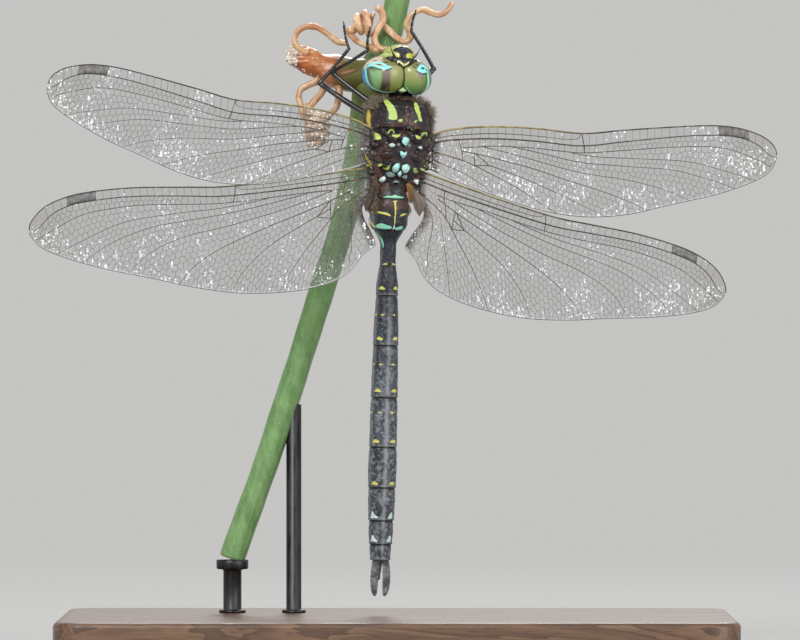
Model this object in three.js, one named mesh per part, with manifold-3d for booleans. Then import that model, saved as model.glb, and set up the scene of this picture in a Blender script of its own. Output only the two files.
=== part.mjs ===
// A hawker dragonfly hanging from a cut length of climbing stem, on a display stand.
// Millimetres, +Z up. The back of the insect faces -Y and its head points up.
// The origin is the centre of the underside of the stand's base.

import * as THREE from "three";
import { mergeVertices } from "three/addons/utils/BufferGeometryUtils.js";
import Module from "manifold-3d";

const wasm = await Module();
wasm.setup();

// Driving dimensions.
const gap = 0.14; // clearance between neighbouring pieces
const wingThickness = 0.5;
const foreWingLength = 46.8;
const hindWingLength = 46.2;
const abdomenLength = 48.6;
const thoraxLength = 11.4;
const thoraxHalfWidth = 4.15;
const thoraxHalfDepth = 4.4;
const thoraxDrop = 0.4; // how far the thorax hangs below the wing-bearing axis
const stemRadius = 1.65;
const baseSize = { x: 88, y: 52, z: 6 };

// Pose, degrees. Roll turns the insect about its long axis, lean tips it sideways.
const bodyRoll = 20;
const headRoll = 18;
const thoraxLean = 5;
const headLean = 3;
const abdomenLean = 1.5;
const foreWing = { sweep: 2.7, raise: 7.2 };
const hindWing = { sweep: -13.85, raise: -2.7 };

// Where the three body regions sit.
const thoraxCentre = [0, 0, 67.7];
const headCentre = [-0.13, -0.2, 77.1];
const abdomenFront = [-0.95, 0, 61.7];

const colours = {
  body: 0x1f1c22,
  skinYellow: 0xb5bd4a,
  eye: 0x6f9a5c,
  wing: 0xcfd4d6,
  leg: 0x141416,
  stem: 0x6f9f5a,
  bark: 0xb8683a,
  tendril: 0xd9a378,
  wood: 0x5a4030,
  steel: 0x2b2c2e,
};

const object = new THREE.Group();

// ---- helpers -------------------------------------------------------------

const radians = THREE.MathUtils.degToRad;

function point(p) {
  return new THREE.Vector3(p[0], p[1], p[2]);
}

// Merges shared corners, drops the flat triangles at poles and faces the rest outwards.
function tidy(geometry) {
  geometry.deleteAttribute("normal");
  geometry.deleteAttribute("uv");
  const merged = mergeVertices(geometry, 1e-4);
  const corners = merged.index.array;
  const position = merged.attributes.position;
  const kept = [];
  const a = new THREE.Vector3();
  const b = new THREE.Vector3();
  const c = new THREE.Vector3();
  let volume = 0;
  for (let i = 0; i < corners.length; i += 3) {
    const [p, q, r] = [corners[i], corners[i + 1], corners[i + 2]];
    if (p === q || q === r || p === r) {
      continue;
    }
    kept.push(p, q, r);
    a.fromBufferAttribute(position, p);
    b.fromBufferAttribute(position, q);
    c.fromBufferAttribute(position, r);
    volume += a.dot(b.cross(c));
  }
  if (volume < 0) {
    kept.reverse();
  }
  merged.setIndex(kept);
  return merged;
}

// Moves every corner of a geometry by a function of its place.
function reshape(geometry, move) {
  const position = geometry.attributes.position;
  const p = new THREE.Vector3();
  for (let i = 0; i < position.count; i++) {
    p.fromBufferAttribute(position, i);
    move(p);
    position.setXYZ(i, p.x, p.y, p.z);
  }
  return tidy(geometry);
}

// A smooth number along a list of [place, value] pairs.
function profile(pairs) {
  return (place) => {
    const last = pairs.length - 1;
    if (place <= pairs[0][0]) {
      return pairs[0][1];
    }
    if (place >= pairs[last][0]) {
      return pairs[last][1];
    }
    const i = pairs.findIndex((pair) => pair[0] > place) - 1;
    const t = (place - pairs[i][0]) / (pairs[i + 1][0] - pairs[i][0]);
    return THREE.MathUtils.lerp(pairs[i][1], pairs[i + 1][1], t * t * (3 - 2 * t));
  };
}

// A rounded box-like ball: exponent 2 is an ellipsoid, higher is squarer.
function ball(centre, half, grow = 0, exponent = 2, across = 18, down = 12) {
  const geometry = new THREE.SphereGeometry(1, across, down);
  return reshape(geometry, (p) => {
    const sum = Math.abs(p.x) ** exponent + Math.abs(p.y) ** exponent + Math.abs(p.z) ** exponent;
    p.multiplyScalar(sum ** (-1 / exponent));
    p.set(
      centre[0] + p.x * (half[0] + grow),
      centre[1] + p.y * (half[1] + grow),
      centre[2] + p.z * (half[2] + grow),
    );
  });
}

// A round tube of changing radius along a curve, closed by a flat at each end.
function tube(curve, radius, sides, steps) {
  const frames = curve.computeFrenetFrames(steps, false);
  const geometry = new THREE.CylinderGeometry(1, 1, steps, sides, steps);
  return reshape(geometry, (p) => {
    const step = Math.round(p.y + steps / 2);
    const r = radius(step / steps);
    const centre = curve.getPointAt(step / steps);
    const [x, z] = [p.x, p.z];
    p.copy(centre);
    p.addScaledVector(frames.normals[step], r * x);
    p.addScaledVector(frames.binormals[step], r * z);
  });
}

// The same closed geometry as a solid, moved from one group's frame to another's.
function solidIn(geometry, from, to) {
  from.updateWorldMatrix(true, false);
  to.updateWorldMatrix(true, false);
  const matrix = to.matrixWorld.clone().invert().multiply(from.matrixWorld);
  const moved = geometry.clone().applyMatrix4(matrix);
  const mesh = new wasm.Mesh({
    numProp: 3,
    vertProperties: new Float32Array(moved.attributes.position.array),
    triVerts: new Uint32Array(moved.index.array),
  });
  return new wasm.Manifold(mesh);
}

// The largest single body of a solid, as a geometry.
function bodyOf(solid) {
  const bodies = solid.decompose();
  bodies.sort((a, b) => b.volume() - a.volume());
  const mesh = bodies[0].getMesh();
  const geometry = new THREE.BufferGeometry();
  geometry.setAttribute("position", new THREE.BufferAttribute(mesh.vertProperties, 3));
  geometry.setIndex(new THREE.BufferAttribute(mesh.triVerts, 1));
  return geometry;
}

// Cuts neighbours, given as [geometry, group] pairs, out of a geometry in its own group.
function carve(geometry, group, neighbours) {
  let solid = solidIn(geometry, group, group);
  for (const [shape, frame] of neighbours) {
    solid = solid.subtract(solidIn(shape, frame, group));
  }
  return bodyOf(solid);
}

function join(geometries, group) {
  const solids = geometries.map((geometry) => solidIn(geometry, group, group));
  return bodyOf(solids.reduce((all, solid) => all.add(solid)));
}

function add(name, geometry, colour, group, roughness = 0.5, metalness = 0) {
  const material = new THREE.MeshStandardMaterial({ color: colour, roughness, metalness });
  const mesh = new THREE.Mesh(geometry, material);
  mesh.name = name;
  group.add(mesh);
  return mesh;
}

// A group that is rolled about the long axis and then leaned sideways.
function region(centre, roll, lean) {
  const group = new THREE.Group();
  group.position.set(...centre);
  group.rotation.set(0, radians(lean), radians(roll), "YXZ");
  object.add(group);
  return group;
}

const headGroup = region(headCentre, headRoll, headLean);
const thoraxGroup = region(thoraxCentre, bodyRoll, thoraxLean);
const abdomenGroup = region(abdomenFront, bodyRoll, abdomenLean);

// ---- head ----------------------------------------------------------------

const eyeCentre = { x: 1.85, y: -0.1, z: -0.55 };
const eyeHalf = [2.75, 3.6, 2.55];

// The capsule carries the vertex in front of the eye seam and the occiput behind it.
function capsuleShape(grow) {
  return join(
    [
      ball([0, 0.5, -0.6], [2.9, 2.6, 2.3], grow, 2, 12, 8),
      ball([0, -2.15, 1.3], [0.95, 0.75, 0.7], grow, 2, 10, 6),
      ball([0, -1.85, -2.25], [0.6, 0.75, 0.75], grow, 2, 10, 6),
    ],
    headGroup,
  );
}

// One eye, cut flat where the two meet along the top of the head.
function eyeShape(side, grow) {
  const whole = ball([side * eyeCentre.x, eyeCentre.y, eyeCentre.z], eyeHalf, grow, 2.4, 20, 12);
  const half = new THREE.BoxGeometry(10, 10, 10).translate(side * (5 - grow + gap / 2), 0, 0);
  return bodyOf(solidIn(whole, headGroup, headGroup).intersect(solidIn(tidy(half), headGroup, headGroup)));
}

function buildHead() {
  const capsule = capsuleShape(0);
  const grownCapsule = [capsuleShape(gap), headGroup];
  add("head", capsule, colours.body, headGroup);
  for (const [side, label] of [[-1, "left"], [1, "right"]]) {
    add(`eye_${label}`, carve(eyeShape(side, 0), headGroup, [grownCapsule]), colours.eye, headGroup, 0.15);
  }
  // Frons above, clypeus and labrum below it, ending in the mouth.
  const faceWhole = join(
    [
      ball([0, -0.55, 1.75], [2.15, 2.45, 2.05], 0, 2.4, 16, 10),
      ball([0, 1.7, 1.2], [1.85, 1.6, 1.7], 0, 2.2, 12, 8),
    ],
    headGroup,
  );
  const neighbours = [
    grownCapsule,
    [eyeShape(-1, gap), headGroup],
    [eyeShape(1, gap), headGroup],
  ];
  const face = carve(faceWhole, headGroup, neighbours);
  add("face", face, colours.skinYellow, headGroup);
  // Bristle-like feelers rise from the vertex between frons and eyes.
  for (const [side, label] of [[-1, "left"], [1, "right"]]) {
    const curve = new THREE.CatmullRomCurve3([
      new THREE.Vector3(side * 0.95, -3.22, 2.15),
      new THREE.Vector3(side * 1.5, -3.6, 3.0),
      new THREE.Vector3(side * 2.15, -3.75, 4.2),
    ]);
    add(`antenna_${label}`, tube(curve, () => 0.25, 6, 3), colours.leg, headGroup);
  }
}

// ---- thorax --------------------------------------------------------------

const thoraxWidth = profile([
  [-6.3, 0.5], [-5.2, 0.74], [-3.2, 0.95], [0, 1], [2.4, 1], [4.1, 0.93], [4.8, 0.8], [5.3, 0.55],
]);

// The big wing-bearing box: rounded across, drawn in at the neck and at the waist.
function thoraxShape(grow) {
  const steps = 11;
  const rear = -6.2;
  const front = rear + thoraxLength;
  const geometry = new THREE.CylinderGeometry(1, 1, steps, 20, steps);
  return reshape(geometry, (p) => {
    const t = p.y / steps + 0.5;
    const along = THREE.MathUtils.lerp(rear - grow, front + grow, t);
    const wide = thoraxWidth(along);
    const round = Math.abs(p.x) ** 2.3 + Math.abs(p.z) ** 2.3;
    const scale = round > 0 ? round ** (-1 / 2.3) * Math.hypot(p.x, p.z) : 0;
    const x = p.x * scale * (thoraxHalfWidth * wide + grow);
    const y = -p.z * scale * (thoraxHalfDepth * wide + grow);
    p.set(x, y + thoraxDrop * wide, along);
  });
}

function buildThorax() {
  add("thorax", thoraxShape(0), colours.body, thoraxGroup);
  const collar = ball([0, 0.2, 5.55], [2.1, 2.2, 0.6], 0, 2, 14, 6);
  add("prothorax", carve(collar, thoraxGroup, [[thoraxShape(gap), thoraxGroup]]), colours.body, thoraxGroup);
}

// ---- abdomen -------------------------------------------------------------

// Half width against distance behind the thorax: a swollen base, a pinched waist, then a
// long rod that is widest at the seventh segment.
const abdomenHalfWidth = profile([
  [0, 2.05], [2.6, 2.46], [4.4, 2.35], [7.3, 0.99], [9.4, 0.95], [13, 1.38], [19.9, 1.6],
  [29.7, 1.74], [36.8, 1.83], [41.6, 1.71], [44.9, 1.56], [abdomenLength, 1.3],
]);
const abdomenDepthRatio = profile([[0, 1.18], [5, 1.12], [9, 1.3], [15, 1.05], [36, 0.9], [48, 0.85]]);
const segmentEnds = [0, 1.26, 5.42, 13.99, 20.5, 27.3, 33.8, 39.1, 43.4, 46.5, abdomenLength];

function segmentShape(start, end) {
  const steps = Math.max(2, Math.round((end - start) / 1.7));
  const geometry = new THREE.CylinderGeometry(1, 1, steps, 14, steps);
  return reshape(geometry, (p) => {
    const along = THREE.MathUtils.lerp(start + gap / 2, end - gap / 2, 0.5 - p.y / steps);
    const half = abdomenHalfWidth(along);
    p.set(p.x * half, -p.z * half * abdomenDepthRatio(along), -along);
  });
}

// A leaf-shaped clasper, seen flat from above.
function cercusShape(side) {
  const leaf = new THREE.Shape();
  leaf.moveTo(side * 0.45, -abdomenLength - gap);
  leaf.bezierCurveTo(side * 0.25, -50, side * 0.3, -51.5, side * 0.75, -53.2);
  leaf.bezierCurveTo(side * 1.45, -52.7, side * 1.55, -51, side * 1.1, -abdomenLength - gap);
  leaf.closePath();
  const geometry = new THREE.ExtrudeGeometry(leaf, { depth: 0.6, bevelEnabled: false, curveSegments: 6 });
  return tidy(geometry.rotateX(Math.PI / 2).translate(0, -0.1, 0));
}

function buildAbdomen() {
  for (let i = 0; i < 10; i++) {
    const whole = segmentShape(segmentEnds[i], segmentEnds[i + 1]);
    const segment = i === 0 ? carve(whole, abdomenGroup, [[thoraxShape(gap), thoraxGroup]]) : whole;
    add(`abdomen_${i + 1}`, segment, colours.body, abdomenGroup);
  }
  for (const [side, label] of [[-1, "left"], [1, "right"]]) {
    const leaf = cercusShape(side);
    add(`cercus_${label}`, leaf, colours.body, abdomenGroup);
  }
  const lower = new THREE.Shape();
  lower.moveTo(-0.7, -abdomenLength - gap);
  lower.lineTo(-0.3, -51.1);
  lower.lineTo(0.3, -51.1);
  lower.lineTo(0.7, -abdomenLength - gap);
  lower.closePath();
  const epiproct = new THREE.ExtrudeGeometry(lower, { depth: 0.5, bevelEnabled: false });
  add("epiproct", tidy(epiproct.rotateX(Math.PI / 2).translate(0, 0.95, 0)), colours.body, abdomenGroup);
}

// ---- wings ---------------------------------------------------------------

// Outlines for a wing of unit length: x runs from the hinge to the tip, y towards the head.
const foreOutline = [
  [-0.035, 0.03], [0.06, 0.053], [0.17, 0.065], [0.3, 0.065], [0.43, 0.057], [0.55, 0.071],
  [0.68, 0.085], [0.8, 0.095], [0.88, 0.088], [0.945, 0.055], [0.985, 0.02], [1, -0.008],
  [0.98, -0.034], [0.92, -0.064], [0.82, -0.098], [0.7, -0.129], [0.58, -0.163], [0.47, -0.176],
  [0.36, -0.17], [0.255, -0.148], [0.15, -0.117], [0.06, -0.088], [-0.035, -0.05],
];
const hindOutline = [
  [-0.035, 0.02], [0.13, 0.022], [0.29, 0.025], [0.43, 0.033], [0.54, 0.049], [0.69, 0.07],
  [0.83, 0.077], [0.91, 0.063], [0.97, 0.028], [1, -0.013], [0.978, -0.042], [0.91, -0.083],
  [0.8, -0.135], [0.67, -0.187], [0.55, -0.234], [0.42, -0.271], [0.28, -0.289], [0.17, -0.286],
  [0.09, -0.262], [0.032, -0.22], [0.008, -0.194], [0.016, -0.16], [0.032, -0.112], [0.028, -0.078],
  [0.004, -0.052], [-0.035, -0.04],
];

function wingShape(outline, length, side, grow) {
  const points = outline.map(([x, y]) => new THREE.Vector2(side * x * length, y * length));
  const curve = new THREE.SplineCurve(points);
  const shape = new THREE.Shape(curve.getPoints(points.length * 2));
  const depth = wingThickness + 2 * grow;
  const plate = new THREE.ExtrudeGeometry(shape, { depth, bevelEnabled: false });
  return tidy(plate.translate(0, 0, -depth / 2).rotateX(Math.PI / 2));
}

function buildWings() {
  const kinds = [
    { name: "fore", outline: foreOutline, length: foreWingLength, pose: foreWing, at: [4.3, -1.65, -0.1] },
    { name: "hind", outline: hindOutline, length: hindWingLength, pose: hindWing, at: [3.9, -0.8, -4.5] },
  ];
  for (const [side, label] of [[-1, "left"], [1, "right"]]) {
    for (const { name, outline, length, pose, at } of kinds) {
      const hinge = new THREE.Group();
      hinge.position.set(side * at[0], at[1], at[2]);
      hinge.rotation.set(0, -side * radians(pose.sweep), -side * radians(pose.raise), "ZYX");
      thoraxGroup.add(hinge);
      const plate = wingShape(outline, length, side, 0);
      const cut = carve(plate, hinge, [[thoraxShape(gap), thoraxGroup]]);
      add(`wing_${name}_${label}`, cut, colours.wing, hinge, 0.3);
    }
  }
}

// ---- legs ----------------------------------------------------------------

// Hip, knee, ankle and toe of each leg.
const legs = {
  front_left: [[-1.8, 2.9, 72.0], [-8.6, 5.4, 77.2], [-3.9, 4.0, 79.95], [-3.55, 3.5, 82.7]],
  front_right: [[0.5, 3.2, 72.0], [4.85, 5.1, 77.6], [1.9, 4.9, 82.5], [2.4, 4.6, 84.95]],
  middle_left: [[-2.6, 2.8, 70.8], [-10.2, 4.6, 75.7], [-6.3, 4.2, 80.2], [-6.95, 4.1, 83.4]],
  middle_right: [[0.2, 3.4, 70.6], [2.6, 7.2, 74.6], [0.1, 9.8, 78.0], [-0.05, 10.0, 80.3]],
  hind_left: [[-2.2, 3.2, 68.6], [-1.0, 8.4, 63.4], [-3.0, 8.9, 66.9], [-2.5, 8.7, 69.6]],
  hind_right: [[0.2, 3.6, 68.4], [2.2, 9.4, 63.2], [-2.5, 11.1, 65.8], [-4.9, 10.65, 67.4]],
};
const legRadii = { femur: [0.44, 0.36], tibia: [0.31, 0.26], tarsus: [0.26, 0.25] };

// Two planes part the leg at a joint, square to the line that halves its bend.
function trimmed(solid, joint, before, after, keepBefore) {
  const direction = new THREE.Vector3()
    .subVectors(joint, before)
    .normalize()
    .add(new THREE.Vector3().subVectors(after, joint).normalize())
    .normalize();
  const offset = direction.dot(joint);
  if (keepBefore) {
    return solid.trimByPlane(direction.clone().negate().toArray(), -offset + gap / 2);
  }
  return solid.trimByPlane(direction.toArray(), offset + gap / 2);
}

function limb(start, end, radii, reach) {
  const along = new THREE.Vector3().subVectors(end, start).normalize();
  const from = start.clone().addScaledVector(along, -reach[0]);
  const to = end.clone().addScaledVector(along, reach[1]);
  const radius = (t) => THREE.MathUtils.lerp(radii[0], radii[1], t);
  return solidIn(tube(new THREE.LineCurve3(from, to), radius, 8, 1), object, object);
}

function buildLegs() {
  for (const [name, joints] of Object.entries(legs)) {
    const [hip, knee, ankle, toe] = joints.map(point);
    const femur = limb(hip, knee, legRadii.femur, [0, 0.7]);
    const tibia = limb(knee, ankle, legRadii.tibia, [0.7, 0.5]);
    const tarsus = limb(ankle, toe, legRadii.tarsus, [0.5, 0]);
    const thigh = trimmed(femur, knee, hip, ankle, true).subtract(solidIn(thoraxShape(gap), thoraxGroup, object));
    const shin = trimmed(trimmed(tibia, knee, hip, ankle, false), ankle, knee, toe, true);
    const foot = trimmed(tarsus, ankle, knee, toe, false);
    add(`leg_${name}_femur`, bodyOf(thigh), colours.leg, object, 0.25);
    add(`leg_${name}_tibia`, bodyOf(shin), colours.leg, object, 0.25);
    add(`leg_${name}_tarsus`, bodyOf(foot), colours.leg, object, 0.25);
  }
}

// ---- perch ---------------------------------------------------------------

// The stem leans away to the left below the insect and runs up behind its head.
const stemPath = new THREE.CatmullRomCurve3(
  [
    [-21.8, 8.5, 13.1], [-20.6, 8.5, 16.5], [-17.1, 8.5, 26.2], [-13.5, 8.5, 37.2], [-9.9, 8.5, 48.6],
    [-7.1, 8.5, 57.5], [-5.3, 8.5, 66], [-4.3, 8.5, 73], [-3, 8.5, 77], [-0.9, 8.5, 82.6], [0.3, 8.5, 88],
  ].map(point),
);

// A swollen joint stands in the stem where the side branch leaves it.
function stemShape(grow) {
  const radius = (t) => grow + stemRadius + 0.75 * Math.exp(-(((t - 0.845) / 0.035) ** 2));
  return tube(stemPath, radius, 10, 26);
}

const branchPath = new THREE.CatmullRomCurve3(
  [[-3.2, 8.5, 77], [-5.4, 8.4, 76.9], [-7.6, 8.2, 77.2], [-10.5, 7.8, 78.1], [-13, 7.4, 79.3], [-14.3, 7.2, 79.9]]
    .map(point),
);

function branchShape(grow) {
  const radius = profile([[0, 2.3], [0.4, 2.25], [0.7, 1.85], [0.92, 1.4], [1, 1.05]]);
  return tube(branchPath, (t) => radius(t) + grow, 10, 8);
}

// A flat-ended coil about an axis, from one radius to another.
function coil(centre, axis, first, turns, rise, radii, perTurn) {
  const side = new THREE.Vector3().crossVectors(axis, first);
  const points = [];
  for (let i = 0; i <= turns * perTurn; i++) {
    const t = i / (turns * perTurn);
    const angle = 2 * Math.PI * turns * t;
    const r = THREE.MathUtils.lerp(radii[0], radii[1], t);
    const p = centre.clone().addScaledVector(axis, (t - 0.5) * rise);
    p.addScaledVector(first, r * Math.cos(angle));
    p.addScaledVector(side, r * Math.sin(angle));
    points.push(p);
  }
  return points;
}

const tendrilRadius = 0.42;

// The tight bundle beside the stem is wound about a level axis, the hanging one about a plumb one.
const bundle = coil(point([-4.75, 5.6, 83.6]), point([1, 0, 0]), point([0, 0, 1]), 3, 3.1, [1.15, 1.3], 9);
const spiral = coil(point([-10.6, 7.2, 69.7]), point([0, 0, -1]), point([-1, 0, 0]), 4, 4.1, [1.75, 1.05], 9);

const tendrils = [
  {
    // A hoop from the branch's tip over to the bundle.
    points: [
      [-11.6, 6.4, 79.6], [-12.9, 6.2, 80.3], [-13.5, 6.2, 81.4], [-13, 6.2, 82.6], [-11.9, 6.2, 83.2],
      [-10.7, 6.2, 83.15], [-9.6, 6.2, 82.6], [-8.6, 6.2, 81.8], [-7.6, 6.2, 81.15], [-6.6, 6.2, 81],
    ].map(point),
    steps: 18,
  },
  {
    // The bundle, whose free end runs down across the stem's foot to the face.
    points: [
      ...[[-2.6, 3.6, 79.9], [-3.9, 4.9, 80.6], [-5.3, 5.3, 81.3], [-6.45, 5.5, 82.6]].map(point),
      ...bundle.slice(4),
    ],
    steps: 36,
  },
  {
    // An S in front of the stem.
    points: [
      [-2.75, 5.2, 85.8], [-2, 5.3, 85.1], [-1.85, 5.3, 84], [-2.5, 5.3, 82.9], [-2.95, 5.3, 81.8],
      [-2.75, 5.2, 80.8], [-2, 5, 80.2], [-1.2, 4.7, 80.3],
    ].map(point),
    steps: 14,
  },
  {
    // A strand that hooks round in front of the stem and then waves away to the right.
    points: [
      [-2.2, 6.35, 83.7], [-1, 6.3, 82.6], [0, 6.25, 81.7], [1, 6.2, 81.2], [1.7, 6.2, 81.6], [1.7, 6.2, 82.5],
      [1.3, 6.1, 83.4], [1.55, 6, 84.3], [2.2, 6, 84.95], [3.4, 6, 85.4], [4.5, 6, 85], [5.5, 6, 84.75],
      [6.55, 6, 85.2], [7.4, 6, 86.4],
    ].map(point),
    steps: 25,
  },
  {
    // The lower hoop and the hanging spiral.
    points: [
      ...[[-10.9, 7.2, 75.6], [-11.8, 7.2, 75.5], [-12.7, 7.2, 74.9], [-12.95, 7.2, 73.9], [-12.7, 7.2, 72.9]]
        .map(point),
      ...spiral,
    ],
    steps: 44,
  },
  {
    // A short strand that drops from the branch's root to the top of the spiral.
    points: [[-7.6, 6.8, 74.7], [-8, 6.7, 73.7], [-8, 6.6, 72.7], [-8.6, 6.2, 71.9]].map(point),
    steps: 5,
  },
];

function buildPerch() {
  add("stem", stemShape(0), colours.stem, object);
  const grownStem = [stemShape(gap), object];
  add("side_branch", carve(branchShape(0), object, [grownStem]), colours.bark, object);
  const grownBranch = [branchShape(gap), object];
  const thorn = tube(
    new THREE.LineCurve3(point([-7.7, 6.2, 77.1]), point([-5.4, 6.05, 77.5])),
    (t) => THREE.MathUtils.lerp(0.42, 0.26, t),
    8,
    2,
  );
  add("thorn", carve(thorn, object, [grownStem, grownBranch]), colours.bark, object);
  tendrils.forEach(({ points, steps }, i) => {
    const curve = new THREE.CatmullRomCurve3(points);
    const strand = tube(curve, () => tendrilRadius, 6, steps);
    add(`tendril_${i + 1}`, carve(strand, object, [grownStem, grownBranch]), colours.tendril, object);
  });
}

// ---- stand ---------------------------------------------------------------

function roundedRectangle(width, depth, corner) {
  const [x, y] = [width / 2, depth / 2];
  const shape = new THREE.Shape();
  shape.moveTo(-x + corner, -y);
  shape.lineTo(x - corner, -y);
  shape.absarc(x - corner, -y + corner, corner, -Math.PI / 2, 0);
  shape.lineTo(x, y - corner);
  shape.absarc(x - corner, y - corner, corner, 0, Math.PI / 2);
  shape.lineTo(-x + corner, y);
  shape.absarc(-x + corner, y - corner, corner, Math.PI / 2, Math.PI);
  shape.lineTo(-x, -y + corner);
  shape.absarc(-x + corner, -y + corner, corner, Math.PI, 1.5 * Math.PI);
  return shape;
}

function buildStand() {
  const edge = 0.7;
  const outline = roundedRectangle(baseSize.x - 2 * edge, baseSize.y - 2 * edge, 4);
  const plate = new THREE.ExtrudeGeometry(outline, {
    depth: baseSize.z - 2 * edge,
    bevelSize: edge,
    bevelThickness: edge,
    bevelSegments: 1,
    curveSegments: 4,
  });
  add("stand_base", tidy(plate.translate(0, 0, edge)), colours.wood, object);
  // One short rod carries the stem's cut end, the other its underside further up.
  const rods = [
    { x: -21.7, radius: 1.2, top: 12.2 },
    { x: -13.6, radius: 1, top: 37 },
  ];
  rods.forEach(({ x, radius, top }, i) => {
    const height = top - baseSize.z - gap;
    const rod = new THREE.CylinderGeometry(radius, radius, height, 14);
    rod.rotateX(Math.PI / 2).translate(x, 8.5, baseSize.z + gap + height / 2);
    const cut = carve(tidy(rod), object, [[stemShape(gap), object]]);
    add(`stand_rod_${i + 1}`, cut, colours.steel, object, 0.35, 0.9);
  });
}

buildHead();
buildThorax();
buildAbdomen();
buildWings();
buildLegs();
buildPerch();
buildStand();

export default object;
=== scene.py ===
import math
import bmesh
import bpy
import numpy as np
from mathutils import Matrix, Vector
from mathutils.geometry import delaunay_2d_cdt


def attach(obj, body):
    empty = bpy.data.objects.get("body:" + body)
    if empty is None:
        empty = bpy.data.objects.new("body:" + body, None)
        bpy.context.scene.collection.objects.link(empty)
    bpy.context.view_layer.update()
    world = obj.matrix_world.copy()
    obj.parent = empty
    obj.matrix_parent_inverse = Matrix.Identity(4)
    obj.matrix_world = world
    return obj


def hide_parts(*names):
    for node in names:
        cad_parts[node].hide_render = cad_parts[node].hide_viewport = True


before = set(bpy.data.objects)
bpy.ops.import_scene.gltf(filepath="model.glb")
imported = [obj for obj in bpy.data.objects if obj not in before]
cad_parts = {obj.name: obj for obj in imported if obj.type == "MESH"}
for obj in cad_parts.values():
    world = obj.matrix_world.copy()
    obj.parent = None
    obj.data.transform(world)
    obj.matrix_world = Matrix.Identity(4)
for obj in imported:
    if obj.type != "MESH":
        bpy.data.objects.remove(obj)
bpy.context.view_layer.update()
mm = 0.001
print("stage: frame loaded")


def linked(name, data):
    # a new object in the scene
    thing = bpy.data.objects.new(name, data)
    bpy.context.collection.objects.link(thing)
    return thing


# the camera, first so that everything else is looked at through it
viewSettings = {
    "distance": 1.0,       # metres from the insect's back
    "width": 0.1046,       # metres across the view at the insect
    "centreX": 0.0004,
    "centreZ": 0.0446,
    "sensor": 36.0,
    "clip": (0.01, 20),
}


def buildCamera(v):
    camera = bpy.data.cameras.new("camera")
    camera.sensor_width = v["sensor"]
    camera.lens = v["sensor"] * v["distance"] / v["width"]
    camera.clip_start, camera.clip_end = v["clip"]
    seen = linked("camera", camera)
    seen.location = (v["centreX"], -v["distance"], v["centreZ"])
    seen.rotation_euler = (math.pi / 2, 0, 0)
    bpy.context.scene.camera = seen


buildCamera(viewSettings)

# where the three body regions sit, in millimetres and degrees
pose = {
    "bodyRoll": 20, "headRoll": 21,
    "thoraxLean": 5, "headLean": 1.5, "abdomenLean": 1.5,
    "thoraxCentre": (0, 0, 67.7), "headCentre": (-0.07, -0.2, 77.1), "abdomenFront": (-0.95, 0, 61.7),
}


def regionMatrix(centre, roll, lean):
    turn = Matrix.Rotation(math.radians(lean), 4, "Y") @ Matrix.Rotation(math.radians(roll), 4, "Z")
    return Matrix.Scale(mm, 4) @ Matrix.Translation(centre) @ turn


headMatrix = regionMatrix(pose["headCentre"], pose["headRoll"], pose["headLean"])
thoraxMatrix = regionMatrix(pose["thoraxCentre"], pose["bodyRoll"], pose["thoraxLean"])
abdomenMatrix = regionMatrix(pose["abdomenFront"], pose["bodyRoll"], pose["abdomenLean"])
worldMatrix = Matrix.Scale(mm, 4)


# small tools for meshes
def moved(matrix, points):
    m = np.array(matrix)
    return points @ m[:3, :3].T + m[:3, 3]


def keepMarks(mesh, marks):
    # numbers kept at each point, for the material
    for key, values in marks.items():
        layer = mesh.attributes.new(key, "FLOAT", "POINT")
        layer.data.foreach_set("value", np.asarray(values, dtype=np.float32))


def cornerPoints(mesh):
    corners = np.empty(len(mesh.loops), dtype=np.int32)
    mesh.loops.foreach_get("vertex_index", corners)
    return corners


def meshObject(name, data, material, marks=None, uv=None):
    # data is points in metres and a list of face arrays; every closed part is turned to face out
    points, faces = data
    mesh = bpy.data.meshes.new(name)
    mesh.from_pydata(points.tolist(), [], [face for block in faces for face in block.tolist()])
    if uv is not None:
        layer = mesh.uv_layers.new(name="OFBake")
        layer.data.foreach_set("uv", uv[cornerPoints(mesh)].astype(np.float32).ravel())
    keepMarks(mesh, marks or {})
    mesh.shade_smooth()
    mesh.materials.append(material)
    form = bmesh.new()
    form.from_mesh(mesh)
    bmesh.ops.recalc_face_normals(form, faces=form.faces)
    form.to_mesh(mesh)
    form.free()
    return linked(name, mesh)


def onBody(piece, slot, *nodes):
    # the whole model is one body; nodes are the solids that the piece stands for
    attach(piece, "root")
    if nodes:
        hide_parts(*nodes)
    return piece


def gridFaces(rows, columns, closed=True):
    # quads between neighbouring rings; closed joins the last column to the first
    r = np.arange(rows - 1)[:, None]
    c = np.arange(columns if closed else columns - 1)[None, :]
    a, b = r * columns + c, r * columns + (c + 1) % columns
    return np.stack([a, b, b + columns, a + columns], -1).reshape(-1, 4)


def ringData(grid, ends=None):
    # a solid of closed rings with a middle point at each end
    rows, columns = grid.shape[:2]
    count = rows * columns
    c = np.arange(columns)
    first = np.stack([(c + 1) % columns, c, np.full(columns, count)], -1)
    last = np.stack([c, (c + 1) % columns, np.full(columns, columns + 1)], -1) + count - columns
    points = [grid.reshape(-1, 3), ends if ends is not None else [grid[0].mean(0), grid[-1].mean(0)]]
    return np.vstack(points), [gridFaces(rows, columns), first, last]


def ringMarks(marks):
    return {key: np.concatenate([m.ravel(), m[0, :1], m[-1, :1]]) for key, m in marks.items()}


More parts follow.
